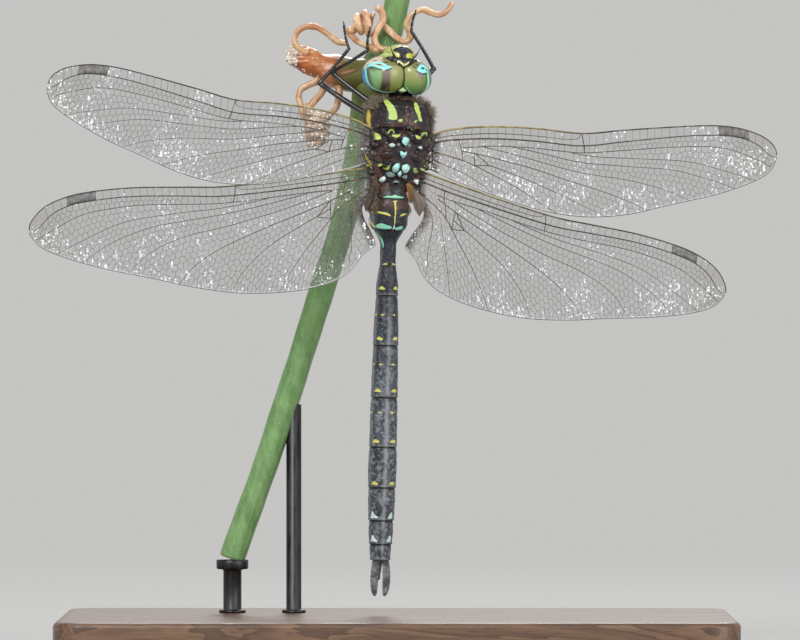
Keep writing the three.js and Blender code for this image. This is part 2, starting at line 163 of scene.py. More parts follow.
def sheetData(top, under):
    # a thin solid between two open grids of the same size
    rows, columns = top.shape[:2]
    count = rows * columns
    sheet = gridFaces(rows, columns, closed=False)
    rim = np.concatenate([
        np.arange(columns), np.arange(1, rows) * columns + columns - 1,
        (rows - 1) * columns + np.arange(columns - 2, -1, -1), np.arange(rows - 2, 0, -1) * columns,
    ])
    nextRim = np.roll(rim, -1)
    sides = np.stack([rim, nextRim, nextRim + count, rim + count], -1)
    return np.vstack([top.reshape(-1, 3), under.reshape(-1, 3)]), [sheet, sheet[:, ::-1] + count, sides]


def joinData(parts):
    points, faces, count = [], [], 0
    for p, f in parts:
        points.append(p)
        faces += [block + count for block in f]
        count += len(p)
    return np.vstack(points), faces


def ringAngles(count):
    # evenly, all the way round
    return np.linspace(0, 2 * np.pi, count, endpoint=False)


def catmull(points, count):
    # an even curve through given points
    p = np.array(points, float)
    ends = np.vstack([2 * p[0] - p[1], p, 2 * p[-1] - p[-2]])
    t = np.linspace(0, len(p) - 1, count)
    i = np.minimum(t.astype(int), len(p) - 2)
    f = (t - i)[:, None]
    a, b, c, d = ends[i], ends[i + 1], ends[i + 2], ends[i + 3]
    return 0.5 * (2 * b + (c - a) * f + (2 * a - 5 * b + 4 * c - d) * f**2 + (3 * b - a - 3 * c + d) * f**3)


def evenly(points, count):
    # the same polyline at equal steps along its length
    lengths = np.concatenate([[0], np.cumsum(np.linalg.norm(np.diff(points, axis=0), axis=1))])
    at = np.linspace(0, lengths[-1], count)
    return np.stack([np.interp(at, lengths, points[:, k]) for k in range(points.shape[1])], -1)


def curveFrames(path):
    # tangents and two side vectors that turn as little as they can
    tangent = np.gradient(path, axis=0)
    tangent /= np.linalg.norm(tangent, axis=1)[:, None]
    side = np.cross(tangent[0], (0.3, 0.9, 0.31))
    sides = []
    for t in tangent:
        side = side - t * side.dot(t)
        side /= np.linalg.norm(side)
        sides.append(side)
    sides = np.array(sides)
    return tangent, sides, np.cross(tangent, sides)


def tubeData(path, radius, columns=12, shape=None, roundEnds=True):
    # a closed tube; radius is a number or one for each row
    path = np.asarray(path, float)
    rows = len(path)
    radius = np.broadcast_to(np.asarray(radius, float), rows).copy()
    ends = [path[0], path[-1]]
    tangent, sideA, sideB = curveFrames(path)
    if roundEnds:
        radius[[0, -1]] *= 0.55
        ends = [path[0] - tangent[0] * radius[0] * 0.45, path[-1] + tangent[-1] * radius[-1] * 0.45]
    angle = ringAngles(columns)[None, :]
    spread = radius[:, None] * np.ones((1, columns))
    if shape is not None:
        spread = spread * shape(np.linspace(0, 1, rows)[:, None], angle)
    ring = np.cos(angle)[..., None] * sideA[:, None] + np.sin(angle)[..., None] * sideB[:, None]
    return ringData(path[:, None] + ring * spread[..., None], ends)


def ballData(centre, half, columns=20, rows=12, exponent=2.0):
    # a rounded box or ball, and the direction of each of its points
    lat = np.linspace(-np.pi / 2, np.pi / 2, rows)[1:-1, None]
    lon = ringAngles(columns)[None, :]
    ways = [np.cos(lat) * np.cos(lon), np.cos(lat) * np.sin(lon), np.sin(lat) * np.ones((1, columns))]
    ways, faces = ringData(np.stack(ways, -1), [(0, 0, -1), (0, 0, 1)])
    ways /= (np.abs(ways) ** exponent).sum(1)[:, None] ** (1 / exponent)
    return ways * np.array(half) + np.array(centre), faces, ways


def profile(pairs):
    # a smooth number along [place, value] pairs, as the solids have it
    places = np.array([p[0] for p in pairs], float)
    values = np.array([p[1] for p in pairs], float)

    def at(x):
        x = np.clip(x, places[0], places[-1])
        i = np.clip(np.searchsorted(places, x, side="right") - 1, 0, len(places) - 2)
        t = (x - places[i]) / (places[i + 1] - places[i])
        return values[i] + (values[i + 1] - values[i]) * t * t * (3 - 2 * t)
    return at


def bell(x, width):
    return np.exp(-((x / width) ** 2))


def step01(x, low, high):
    t = np.clip((x - low) / (high - low), 0, 1)
    return t * t * (3 - 2 * t)


# small tools for marks: each gives a distance in mm, positive inside
def toSegment(x, y, a, b):
    # the share of the way along a segment, and the distance from it
    dx, dy = b[0] - a[0], b[1] - a[1]
    t = np.clip(((x - a[0]) * dx + (y - a[1]) * dy) / (dx * dx + dy * dy), 0, 1)
    return t, np.hypot(x - a[0] - t * dx, y - a[1] - t * dy)


def strokeMark(x, y, line, widths):
    best = np.full(x.shape, -9.0)
    for a, b, wide, nextWide in zip(line, line[1:], widths, widths[1:]):
        t, far = toSegment(x, y, a, b)
        best = np.maximum(best, wide + (nextWide - wide) * t - far)
    return best


def loopMark(x, y, points):
    # a closed outline
    inside = np.zeros(x.shape, bool)
    best = np.full(x.shape, 1e9)
    for a, b in zip(points, points[1:] + points[:1]):
        best = np.minimum(best, toSegment(x, y, a, b)[1])
        if b[1] != a[1]:
            crossing = a[0] + (b[0] - a[0]) * (y - a[1]) / (b[1] - a[1])
            inside ^= ((a[1] > y) != (b[1] > y)) & (x < crossing)
    return np.where(inside, best, -best)


def ovalMark(x, y, centre, half, turn=0.0):
    c, s = math.cos(math.radians(turn)), math.sin(math.radians(turn))
    dx, dy = x - centre[0], y - centre[1]
    a, b = (c * dx + s * dy) / half[0], (-s * dx + c * dy) / half[1]
    return (1 - np.hypot(a, b)) * min(half)


# small tools for node trees
def put(tree, kind, sockets=None, **settings):
    # one node; a socket's value is a number or colour to set, or another node's output to link
    node = tree.nodes.new(kind)
    for key, value in settings.items():
        setattr(node, key, value)
    for key, value in (sockets or {}).items():
        value = getattr(value, "socket", value)
        if isinstance(value, bpy.types.NodeSocket):
            tree.links.new(value, node.inputs[key])
        else:
            node.inputs[key].default_value = value
    return node


class Signal:
    # one output of a shader node; sums with it add nodes
    def __init__(self, node, output=0):
        self.tree, self.socket = node.id_data, node.outputs[output]

    def maths(self, operation, other=0.0, clamp=False):
        sockets = {0: self, 1: other}
        return Signal(put(self.tree, "ShaderNodeMath", sockets, operation=operation, use_clamp=clamp))

    def __add__(self, other):
        return self.maths("ADD", other)

    def __sub__(self, other):
        return self.maths("SUBTRACT", other)

    def __rsub__(self, other):
        return Signal(put(self.tree, "ShaderNodeMath", {0: other, 1: self}, operation="SUBTRACT"))

    def __mul__(self, other):
        return self.maths("MULTIPLY", other)

    def orMore(self, other):
        return self.maths("MAXIMUM", other)

    def span(self, low, high, outLow=0.0, outHigh=1.0):
        sockets = {"Value": self, "From Min": low, "From Max": high, "To Min": outLow, "To Max": outHigh}
        return Signal(put(self.tree, "ShaderNodeMapRange", sockets, interpolation_type="SMOOTHSTEP"))


def blend(factor, a, b):
    tree = next(value.tree for value in (factor, a, b) if isinstance(value, Signal))
    a, b = (value if isinstance(value, Signal) else (*value, 1) for value in (a, b))
    return Signal(put(tree, "ShaderNodeMix", {0: factor, 6: a, 7: b}, data_type="RGBA"), 2)


class Finish:
    # one material; fixed holds values for the shader's own sockets
    def __init__(self, name, fixed):
        self.material = bpy.data.materials.new(name)
        self.material.use_nodes = True
        self.tree = self.material.node_tree
        self.shader = self.tree.nodes["Principled BSDF"]
        for key, value in fixed.items():
            self.shader.inputs[key].default_value = value

    def add(self, kind, sockets, output=0, **settings):
        return Signal(put(self.tree, "ShaderNode" + kind, sockets, **settings), output)

    def mark(self, name):
        return self.add("Attribute", {}, "Fac", attribute_name=name)

    def place(self, scale=(1, 1, 1), turn=(0, 0, 0)):
        where = self.add("TexCoord", {}, "Object")
        angles = [math.radians(a) for a in turn]
        return self.add("Mapping", {"Vector": where, "Scale": scale, "Rotation": angles})

    def noise(self, scale, detail=3.0, rough=0.55, vector=None, distortion=0.0):
        sockets = {"Scale": scale, "Detail": detail, "Roughness": rough, "Distortion": distortion}
        return self.add("TexNoise", {"Vector": vector or self.place(), **sockets}, "Fac")

    def cells(self, scale, feature="F1", output="Distance", vector=None, randomness=1.0):
        sockets = {"Vector": vector or self.place(), "Scale": scale, "Randomness": randomness}
        return self.add("TexVoronoi", sockets, output, feature=feature)

    def ramp(self, factor, stops):
        node = put(self.tree, "ShaderNodeValToRGB", {"Fac": factor})
        band = node.color_ramp
        while len(band.elements) < len(stops):
            band.elements.new(0.5)
        for element, (place, colour) in zip(band.elements, stops):
            element.position = place
            element.color = (*colour, 1)
        return Signal(node)

    def bump(self, height, strength, distance, under=None):
        sockets = {"Height": height, "Strength": strength, "Distance": distance}
        if under is not None:
            sockets["Normal"] = under
        return self.add("Bump", sockets)

    def done(self, colour, rough=None, normal=None, alpha=None):
        ends = {"Base Color": colour, "Roughness": rough, "Normal": normal, "Alpha": alpha}
        for key, value in ends.items():
            if value is not None:
                self.tree.links.new(value.socket, self.shader.inputs[key])
        return self.material


def nodeGroup(name, inputs):
    # a geometry node group with named inputs: its tree, their outputs inside it, and their keys
    tree = bpy.data.node_groups.new(name, "GeometryNodeTree")
    keys = {}
    for label, kind in {"Geometry": "Geometry", **inputs}.items():
        socket = tree.interface.new_socket(label, in_out="INPUT", socket_type="NodeSocket" + kind)
        keys[label] = socket.identifier
    tree.interface.new_socket("Geometry", in_out="OUTPUT", socket_type="NodeSocketGeometry")
    return tree, put(tree, "NodeGroupInput").outputs, keys


def closeGroup(tree, geometry, material):
    real = put(tree, "GeometryNodeRealizeInstances", {"Geometry": geometry})
    sockets = {"Geometry": real.outputs[0], "Material": material}
    finished = put(tree, "GeometryNodeSetMaterial", sockets)
    put(tree, "NodeGroupOutput", {"Geometry": finished.outputs[0]})


def evaluated(name, mesh, tree, keys, values):
    # what a node group makes of a mesh, as a plain piece
    carrier = linked(name + "Source", mesh)
    modifier = carrier.modifiers.new("nodes", "NODES")
    modifier.node_group = tree
    for label, value in values.items():
        modifier[keys[label]] = value
    bpy.context.view_layer.update()
    graph = bpy.context.evaluated_depsgraph_get()
    result = bpy.data.meshes.new_from_object(carrier.evaluated_get(graph), depsgraph=graph)
    carrier.modifiers.remove(modifier)
    bpy.data.objects.remove(carrier)
    result.name = name
    result.shade_smooth()
    return linked(name, result)


# floor, background and lights
stageSettings = {
    "floorRadius": 0.5,
    "floorSize": (12, 96),     # rings and columns
    "floorColour": (0.45, 0.446, 0.438),
    "backColour": (0.56, 0.555, 0.545),
    "worldStrength": 0.62,
    "aim": (0, 0, 0.05),
    # name, place, size, watts
    "lamps": [
        ("lampKey", (-0.42, -0.95, 0.72), 0.5, 8.9),
        ("lampFill", (0.75, -0.7, 0.3), 0.8, 4.6),
        ("lampBack", (0.1, 0.85, 0.75), 0.5, 5.5),
    ],
}


def buildFloor(v):
    rings, columns = v["floorSize"]
    radius = (np.linspace(0, 1, rings + 1)[1:] * v["floorRadius"])[:, None]
    angle = ringAngles(columns)[None, :]
    # a hair below the stand, so that the two don't touch
    low = np.full((rings, columns), -0.00004)
    points, faces = ringData(np.stack([radius * np.cos(angle), radius * np.sin(angle), low], -1))
    look = Finish("palePaperFloor", {"Roughness": 0.85, "Specular IOR Level": 0.25})
    fine = look.noise(900, 4)
    colour = blend(fine.span(0.3, 0.7), [0.985 * c for c in v["floorColour"]], v["floorColour"])
    # the rim fades into the background
    far = look.add("VectorMath", {0: look.place()}, "Value", operation="LENGTH")
    fade = far.span(0.24 * v["floorRadius"], 0.92 * v["floorRadius"], 1, 0)
    material = look.done(colour, normal=look.bump(fine, 0.04, 0.0002), alpha=fade)
    floor = meshObject("floor", (points[:-1], faces[:2]), material)
    if floor.data.polygons[0].normal.z < 0:
        floor.data.flip_normals()


def buildLamps(v):
    for name, place, size, watts in v["lamps"]:
        lamp = bpy.data.lights.new(name, "AREA")
        lamp.shape = "DISK"
        lamp.size = size
        lamp.energy = watts
        placed = linked(name, lamp)
        placed.location = place
        placed.rotation_euler = (Vector(v["aim"]) - Vector(place)).to_track_quat("-Z", "Y").to_euler()


def buildWorld(v):
    # white light on the model, and a pale grey where the room is seen, mirrored or seen through
    world = bpy.data.worlds.new("paleRoom")
    world.use_nodes = True
    tree = world.node_tree
    light = tree.nodes["Background"]
    light.inputs["Color"].default_value = (1, 1, 1, 1)
    light.inputs["Strength"].default_value = v["worldStrength"]
    room = put(tree, "ShaderNodeBackground", {"Color": (*v["backColour"], 1)})
    path = put(tree, "ShaderNodeLightPath")
    mirrored = Signal(path, "Is Glossy Ray").orMore(Signal(path, "Is Transmission Ray"))
    seen = Signal(path, "Is Camera Ray").orMore(mirrored)
    both = put(tree, "ShaderNodeMixShader", {"Fac": seen, 1: light.outputs[0], 2: room.outputs[0]})
    tree.links.new(both.outputs[0], tree.nodes["World Output"].inputs["Surface"])
    bpy.context.scene.world = world
    bpy.context.scene.view_settings.view_transform = "Standard"


buildFloor(stageSettings)
buildLamps(stageSettings)
buildWorld(stageSettings)
print("stage: floor and lights built")

# the body: one closed skin from the back of the head to the tip of the tail
bodySettings = {
    "columns": 132,
    "dorsalCrowding": 0.34,    # the back gets closer columns than the belly
    # the back of the head and the thorax's collar are parts of balls: places along them where they
    # start and end, middle, half length, depth, half width and depth, least share, rows
    "headBack": {
        "from": 1.68, "to": -2.55, "middle": -0.6, "long": 2.3, "depth": 0.5, "half": (2.9, 2.6),
        "least": 0.004, "rows": 40,
    },
    "collar": {
        "from": 6.4, "to": 5.92, "middle": 6.1, "long": 0.5, "depth": 0.3, "half": (1.7, 1.9),
        "least": 0.1, "rows": 8,
    },
    "neck": {
        "from": (-0.27, -0.2, 74.5), "to": (0.5, 0.2, 73.75), "shares": (0.15, 0.85), "depth": 0.35,
        "half": 1.15, "lean": 4, "rows": 8,
    },
    "thoraxPlaces": (5.85, -5.75),
    "thoraxHalfWidth": 4.15,
    "thoraxHalfDepth": 4.4,
    "thoraxDrop": 0.4,
    "thoraxExponent": 2.3,
    "thoraxWidth": [
        [-6.3, 0.5], [-5.2, 0.74], [-3.2, 0.95], [0, 1], [2.4, 1], [4.1, 0.96], [4.8, 0.89], [5.3, 0.77],
        [5.85, 0.5],
    ],
    "abdomenWidth": [
        [0, 2.05], [2.6, 2.46], [4.4, 2.35], [7.3, 0.99], [9.4, 0.95], [13, 1.38], [19.9, 1.6],
        [29.7, 1.74], [36.8, 1.83], [41.6, 1.71], [44.9, 1.56], [48.6, 1.3],
    ],
    "abdomenDepth": [[0, 1.18], [5, 1.12], [9, 1.3], [15, 1.05], [36, 0.9], [48, 0.85]],
    "segmentEnds": [0, 1.26, 5.42, 13.99, 20.5, 27.3, 33.8, 39.1, 43.4, 46.5, 48.6],
    "abdomenRow": 0.115,
    "thoraxRow": 0.1,
    "midline": -4.0,           # degrees, where the line of the back lies
    "tailMidline": -11.0,
    "thoraxEnd": 5.88,
    # relief of the thorax: degrees from the line of the back, and mm along it
    # raised plates: middle, half sizes, height, turn
    "plates": [
        ((0, 0.55), (0.75, 0.95), 0.6, 0), ((-1, -1.35), (0.62, 0.5), 0.7, 0),
        ((-22, 0.75), (0.95, 0.8), 0.5, 20), ((26, 0.8), (0.95, 0.8), 0.5, -20),
        ((-24, -0.35), (0.62, 0.36), 0.55, 12), ((34, -0.35), (0.55, 0.34), 0.55, -12),
        ((-42, 1.3), (0.7, 0.5), 0.55, -20), ((44, 1.4), (0.7, 0.5), 0.55, 20),
        ((-50, 0.1), (0.7, 0.75), 0.5, 0), ((54, 0.1), (0.7, 0.75), 0.5, 0),
        ((-34, -1.7), (1.0, 0.6), 0.45, 15), ((32, -1.7), (1.0, 0.6), 0.45, -15),
        ((-13, -3.1), (0.6, 0.66), 0.62, 0), ((6, -3.1), (0.6, 0.66), 0.62, 0),
        ((-5, -4.0), (0.44, 0.5), 0.55, 0), ((-9, -5.1), (0.6, 0.3), 0.4, 0),
        ((-38, -3.15), (0.8, 0.36), 0.55, 12), ((37, -3.15), (0.8, 0.36), 0.55, -12),
        ((-22, -4.3), (0.6, 0.4), 0.45, 15), ((12, -4.4), (0.5, 0.4), 0.45, -15),
        ((-43, -4.9), (0.68, 0.46), 0.6, 24), ((52, -4.9), (0.46, 0.5), 0.6, 0),
        ((-62, -2.4), (0.7, 0.8), 0.4, 0), ((62, -2.4), (0.7, 0.8), 0.4, 0),
    ],
    # grooves on both sides, each a line and its depth
    "seams": [
        ([(64, 2.2), (84, 3.4), (112, 5.0)], 0.16), ([(78, -0.6), (104, 1.2), (132, 3.4)], 0.14),
        ([(96, -3.2), (118, -1.6), (142, 0.4)], 0.12),
    ],
    "bulges": [(150, 4.2), (150, 2.2), (152, 0.2)],
    # middles of the rings of small folds round the wing joints
    "folds": [(-50, 0.1), (52, 0.1), (-48, -4.4), (54, -4.4)],
    "markRadius": 3.9,         # the least radius the thorax's strokes and spots are laid flat at
    # marks: part, colour, kind, places along it where they stand, shapes in degrees and mm; a patch is an
    # outline and a radius, a stroke is a line and its half widths, a spot is a middle, half sizes and a turn
    "marks": [
        ("thorax", "yellow", "patch", (0,), [
            ([(-66, 5.55), (-52, 5.5), (-35, 4.9), (-26, 4.15), (-23, 3.5), (-24, 3), (-37, 2.98),
                (-38, 3.6), (-46, 4.65)], 4),
            ([(19, 5.55), (24, 5.4), (22, 4.6), (24, 3.8), (27, 3.1), (20, 3.1), (17, 3.7), (12, 4.3),
                (12, 5)], 4),
            ([(-100, 4.75), (-91, 3.9), (-83, 2.9), (-76, 1.85), (-93, 2.3), (-110, 3.3), (-112, 4.1)], 4),
            ([(-94, 1.55), (-73, 1.35), (-53, 0.8), (-51, 0.25), (-71, 0.25), (-88, 0.8)], 4),
            ([(-28.5, 0.94), (-24, 1.02), (-19, 1.05), (-13, 1.22), (-15, 0.86), (-21, 0.64), (-27, 0.72)],
                4),
            ([(16, 1.3), (21, 1.12), (32, 1.05), (29, 0.82), (22, 0.7), (17, 0.95)], 4),
            ([(104, 4.6), (93, 3.8), (80, 2.6), (72, 1.9), (89, 2.3), (102, 3.3)], 4),
            ([(88, 1.55), (69, 1.35), (56, 0.9), (54, 0.35), (69, 0.35), (84, 0.8)], 4),
        ]),
        ("thorax", "yellow", "stroke", (0,), [
            ([(-70, -3.5), (-88, -2.9), (-97, -2)], [0.26, 0.3, 0.1]),
            ([(64, -3.2), (84, -2.9), (96, -2.2)], [0.1, 0.25, 0.3]),
            ([(-112, 4.4), (-134, 5)], [0.3, 0.3]),
            ([(104, 4.4), (126, 5)], [0.3, 0.3]),
            ([(-104, -2.7), (-138, -0.6)], [0.34, 0.5]),
            ([(96, -2.7), (130, -0.6)], [0.34, 0.5]),
            ([(-37.5, 1.15), (-35.5, 1.5), (-31, 1.64), (-27.5, 1.5), (-26, 1.2)],
                [0.1, 0.14, 0.13, 0.1, 0.05]),
            ([(32, 1.1), (33.5, 1.46), (38, 1.66), (42.5, 1.52), (43, 1.2)],
                [0.06, 0.11, 0.13, 0.12, 0.07]),
            ([(-44, -3.4), (-38, -3.52), (-33, -3.4), (-30.5, -3.08)], [0.04, 0.11, 0.17, 0.08]),
            ([(24, -3.1), (28, -3.42), (36, -3.6), (44, -3.5)], [0.05, 0.13, 0.12, 0.04]),
            ([(46, -3.1), (52, -3.2), (60, -3.1), (58, -2.8), (50, -2.65)], [0.1, 0.12, 0.1, 0.08, 0.05]),
        ]),
        ("thorax", "yellow", "spot", (0,), [
            ((-16.5, 2.92), (0.3, 0.2), 15), ((13, 3), (0.26, 0.12), 40), ((-48.5, -3.08), (0.4, 0.2), 8),
        ]),
        ("thorax", "golden", "stroke", (0,), [
            ([(-120, 4.7), (-75, 2)], [0.9, 0.9]), ([(113, 4.7), (68, 2)], [0.9, 0.9]),
        ]),
        ("thorax", "cyan", "patch", (0,), [
            ([(-9.5, 0.62), (-5, 0.86), (-1, 0.74), (4, 0.68), (7, 0.35), (4, -0.05), (0, -0.36),
                (-5, -0.2), (-10, 0.15)], 4),
            ([(-11.5, -1.05), (-8, -1.06), (-5, -1.28), (-1, -1.1), (4, -1.05), (3.5, -1.45), (-1.5, -1.9),
                (-7, -1.82), (-11, -1.5)], 4),
            ([(-24, -3.35), (-19.5, -2.85), (-11, -2.6), (-8.5, -2.95), (-12, -3.6), (-17, -3.88),
                (-23, -3.72)], 4),
            ([(-4.5, -3.4), (-4, -2.95), (1, -2.72), (9, -2.7), (15, -2.95), (15, -3.35), (10, -3.8),
                (2, -3.78)], 4),
            ([(-6, -3.55), (-1, -3.95), (-5, -4.42), (-12.5, -4.05)], 4),
        ]),
        ("thorax", "white", "patch", (0,), [
            ([(-34.5, -0.42), (-28, -0.1), (-22, -0.3), (-24, -0.56), (-30, -0.68)], 4),
            ([(24, -0.36), (30, -0.12), (40, -0.18), (43, -0.4), (38, -0.62), (29, -0.54)], 4),
            ([(-39, -4.1), (-31, -3.86), (-22, -4), (-15.5, -4.22), (-22, -4.5), (-32, -4.56)], 4),
            ([(0, -4.35), (12.5, -4.05), (17, -4.62), (8, -4.62)], 4),
            ([(-56, -5.08), (-50, -4.8), (-42, -4.5), (-38.5, -4.8), (-43, -5.15), (-52, -5.35)], 4),
            ([(41, -4.85), (44, -4.52), (56, -4.6), (62, -5.1), (56, -5.3), (48, -5.15)], 4),
        ]),
        ("thorax", "white", "spot", (0,), [
            ((-15, -0.22), (0.22, 0.17), 15), ((8, -0.16), (0.22, 0.2), -15),
        ]),
        ("thorax", "white", "stroke", (0,), [(
            [(-22, -5.22), (-13, -5.02), (-3, -5.12)], [0.07, 0.15, 0.09],
        )]),
        ("thorax", "grey", "spot", (0,), [
            ((-27, -4.2), (0.75, 0.45), 0), ((8, -4.4), (0.6, 0.45), 0), ((-13, -5.1), (0.8, 0.3), 0),
            ((-15, -0.22), (0.3, 0.25), 0), ((8, -0.16), (0.3, 0.28), 0),
        ]),
        ("thorax", "rust", "stroke", (0,), [
            ([(-4, 5), (-4, 3.1)], [0.1, 0.22]), ([(-4, 3), (-30, 2.15)], [0.42, 0.2]),
            ([(-4, 3), (24, 2.1)], [0.42, 0.2]), ([(-4, 1.4), (-4, 1)], [0.5, 0.6]),
            ([(-40, -0.8), (-52, -2)], [0.7, 0.6]), ([(56, -0.9), (60, -2.6)], [0.5, 0.4]),
            ([(-66, -3.4), (-50, -5.6)], [0.8, 0.5]), ([(60, -3.6), (30, -5.7)], [0.3, 0.7]),
            ([(62, 1), (62, -1)], [0.2, 0.3]), ([(-35, -2.1), (-22, -2.2)], [0.3, 0.2]),
        ]),
        ("tail", "cyan", "stroke", (0,), [
            ([(-42, 1.12), (-28, 1.02), (-16, 1.06), (-4, 1), (10, 1.08), (28, 1.08)],
                [0.06, 0.13, 0.15, 0.22, 0.15, 0.05]),
            ([(-4, 1), (-4, 0.68)], [0.18, 0.03]),
            ([(7, 5.15), (16, 5.14), (26, 5)], [0.16, 0.27, 0.2]),
            ([(-114, 5.5), (-92, 5.9), (-72, 6.6), (-60, 7.7)], [0.08, 0.26, 0.26, 0.03]),
            ([(88, 5.55), (72, 6.2), (58, 7.4)], [0.1, 0.3, 0.03]),
        ]),
        ("tail", "cyan", "patch", (0,), [(
            [(-72, 4.98), (-60, 4.68), (-48, 4.53), (-34, 4.65), (-10, 5.02), (-26, 5.25), (-44, 5.22),
                (-58, 5.14)],
            2.2,
        )]),
        ("tail", "yellow", "stroke", (0,), [
            ([(-12, 1.62), (-5, 1.62), (2, 1.58)], [0.05, 0.12, 0.06]),
            ([(-4.5, 1.62), (-4, 2.2), (-3, 3.4), (-4, 4.6)], [0.15, 0.1, 0.1, 0.045]),
            ([(-64, 3.05), (-48, 3.1), (-28, 3.3), (-20, 3.45)], [0.03, 0.12, 0.16, 0.12]),
            ([(-93, 2.95), (-68, 3.26)], [0.15, 0.04]),
            ([(17, 3.42), (24, 3.32), (40, 3.17)], [0.12, 0.15, 0.03]),
            ([(62, 3.1), (80, 2.85)], [0.05, 0.16]),
            ([(-111, 3.7), (-101, 4.3), (-85, 4.82), (-72, 4.98)], [0.06, 0.22, 0.24, 0.06]),
            ([(94, 3.5), (84, 4.3), (70, 4.92)], [0.12, 0.22, 0.22]),
            ([(-111, 3), (-109, 2.45), (-104, 1.9)], [0.08, 0.24, 0.08]),
            ([(100, 1.7), (94, 2.5), (96, 3.1)], [0.08, 0.24, 0.08]),
            ([(-64, 9.85), (-44, 9.8), (-28, 9.8)], [0.05, 0.12, 0.08]),
            ([(12, 9.8), (26, 9.8), (44, 9.85)], [0.07, 0.12, 0.05]),
        ]),
        ("tail", "yellow", "stroke", (16.45, 22.9, 29.2), [
            ([(-42, 0), (-28, 0)], [0.11, 0.05]), ([(9, 0), (23, 0)], [0.05, 0.11]),
            ([(-93, 0.05), (-77, 0)], [0.12, 0.1]), ([(55, 0.05), (71, 0)], [0.12, 0.1]),
        ]),
        ("tail", "yellow", "patch", (12.9, 19.5, 26.3, 32.9, 38.4), [
            ([(-69, 0.2), (-61, -0.1), (-49, -0.2), (-33, 0.12), (-41, 0.26)], 2),
            ([(11, 0.18), (21, -0.12), (37, -0.18), (43, 0.22)], 2),
        ]),
        ("tail", "white", "patch", (42.98, 46.05), [
            ([(-73, 0), (-67, -0.5), (-58, -0.85), (-47, -0.45), (-33, 0)], 2),
            ([(13, 0), (24, -0.5), (35, -0.8), (43, 0)], 2),
        ]),
        ("tail", "white", "stroke", (0,), [
            ([(-5, 4.6), (-4, 5), (-8, 5.42)], [0.04, 0.1, 0.04]), ([(-3, 5.05), (9, 5.36)], [0.08, 0.03]),
        ]),
        ("tail", "rust", "stroke", (0,), [
            ([(-88, 2.2), (-20, 2.15)], [0.62, 0.66]), ([(8, 2.1), (40, 2.1)], [0.62, 0.62]),
            ([(-66, 0.5), (-52, 0.9)], [0.5, 0.4]), ([(34, 0.2), (52, 0.7)], [0.5, 0.4]),
        ]),
    ],
}


def around(phi, exponent):
    s, c = np.sin(phi), np.cos(phi)
    k = (np.abs(s) ** exponent + np.abs(c) ** exponent) ** (-1 / exponent)
    return s * k, c * k


def dome(phi, w, radius, centre, half, turn=0.0):
    # 1 in the middle of an oval on the body's surface, 0 at its edge
    x = np.radians(phi - centre[0]) * radius
    flat = ovalMark(x, w, (0, centre[1]), half, turn) / min(half)
    return np.sqrt(np.clip(flat, 0, 1) * (2 - np.clip(flat, 0, 1)))


def stroke(phi, w, radius, line, widths):
    # a stroke through [degrees, mm] points; widths are half widths in mm
    flat = [(math.radians(p) * radius, place) for p, place in line]
    return strokeMark(np.radians(phi) * radius, w, flat, widths)


def spot(phi, w, radius, centre, half, turn=0.0):
    return ovalMark(np.radians(phi - centre[0]) * radius, w, (0, centre[1]), half, turn)


def patch(phi, w, radius, outline, size):
    # a closed smooth outline through [degrees, mm] points, laid flat at the radius size
    line = np.array([(math.radians(p) * size, place) for p, place in outline])
    ring = catmull(np.vstack([line, line[:1]]), 5 * len(line) + 1)[:-1]
    return loopMark(np.radians(phi) * size, w, [tuple(point) for point in ring])


def tailMid(along, v):
    return v["midline"] + (v["tailMidline"] - v["midline"]) * step01(along, 6, 20)


def thoraxRelief(phi, w, radius, v):
    # how far the thorax stands out from its plain section, mm
    mid = phi - v["midline"]
    rise = 0.2 * bell(mid, 3.2) * step01(w, 2.3, 3.2) * step01(5.6 - w, 0, 0.8)
    # ridge in front of the fore wings, then the sunken back between the wings
    rise += 0.3 * bell(w - 2.25 + 0.006 * np.abs(mid), 0.22) * step01(60 - np.abs(mid), 0, 12)
    back = step01(58 - np.abs(mid), 0, 14) * step01(1.95 - w, 0, 0.3) * step01(w + 5.7, 0, 0.5)
    rise -= 0.55 * back
    for (p, place), half, height, turn in v["plates"]:
        rise += height * back**0.3 * dome(phi, w, radius, (p + v["midline"], place), half, turn)
    for side in (-1, 1):
        for line, deep in v["seams"]:
            line = [(side * p + v["midline"], place) for p, place in line]
            rise -= deep * bell(np.minimum(stroke(phi, w, radius, line, [0] * 3), 0), 0.13)
        for p, place in v["bulges"]:
            rise += 0.5 * dome(phi, w, radius, (side * p, place), (1.0, 0.9))
    for p, place in v["folds"]:
        dx, dy = np.radians(phi - p) * radius, w - place
        ring = bell(np.hypot(dx, dy) - 0.75, 0.42)
        rise += 0.075 * np.sin(11 * np.arctan2(dy, dx) + p) * ring
    fine = 0.02 * np.sin(phi * 0.9 + 5 * w) * np.sin(3.7 * w + phi * 0.35)
    return rise + fine + 0.012 * np.sin(phi * 2.1 - 9 * w)


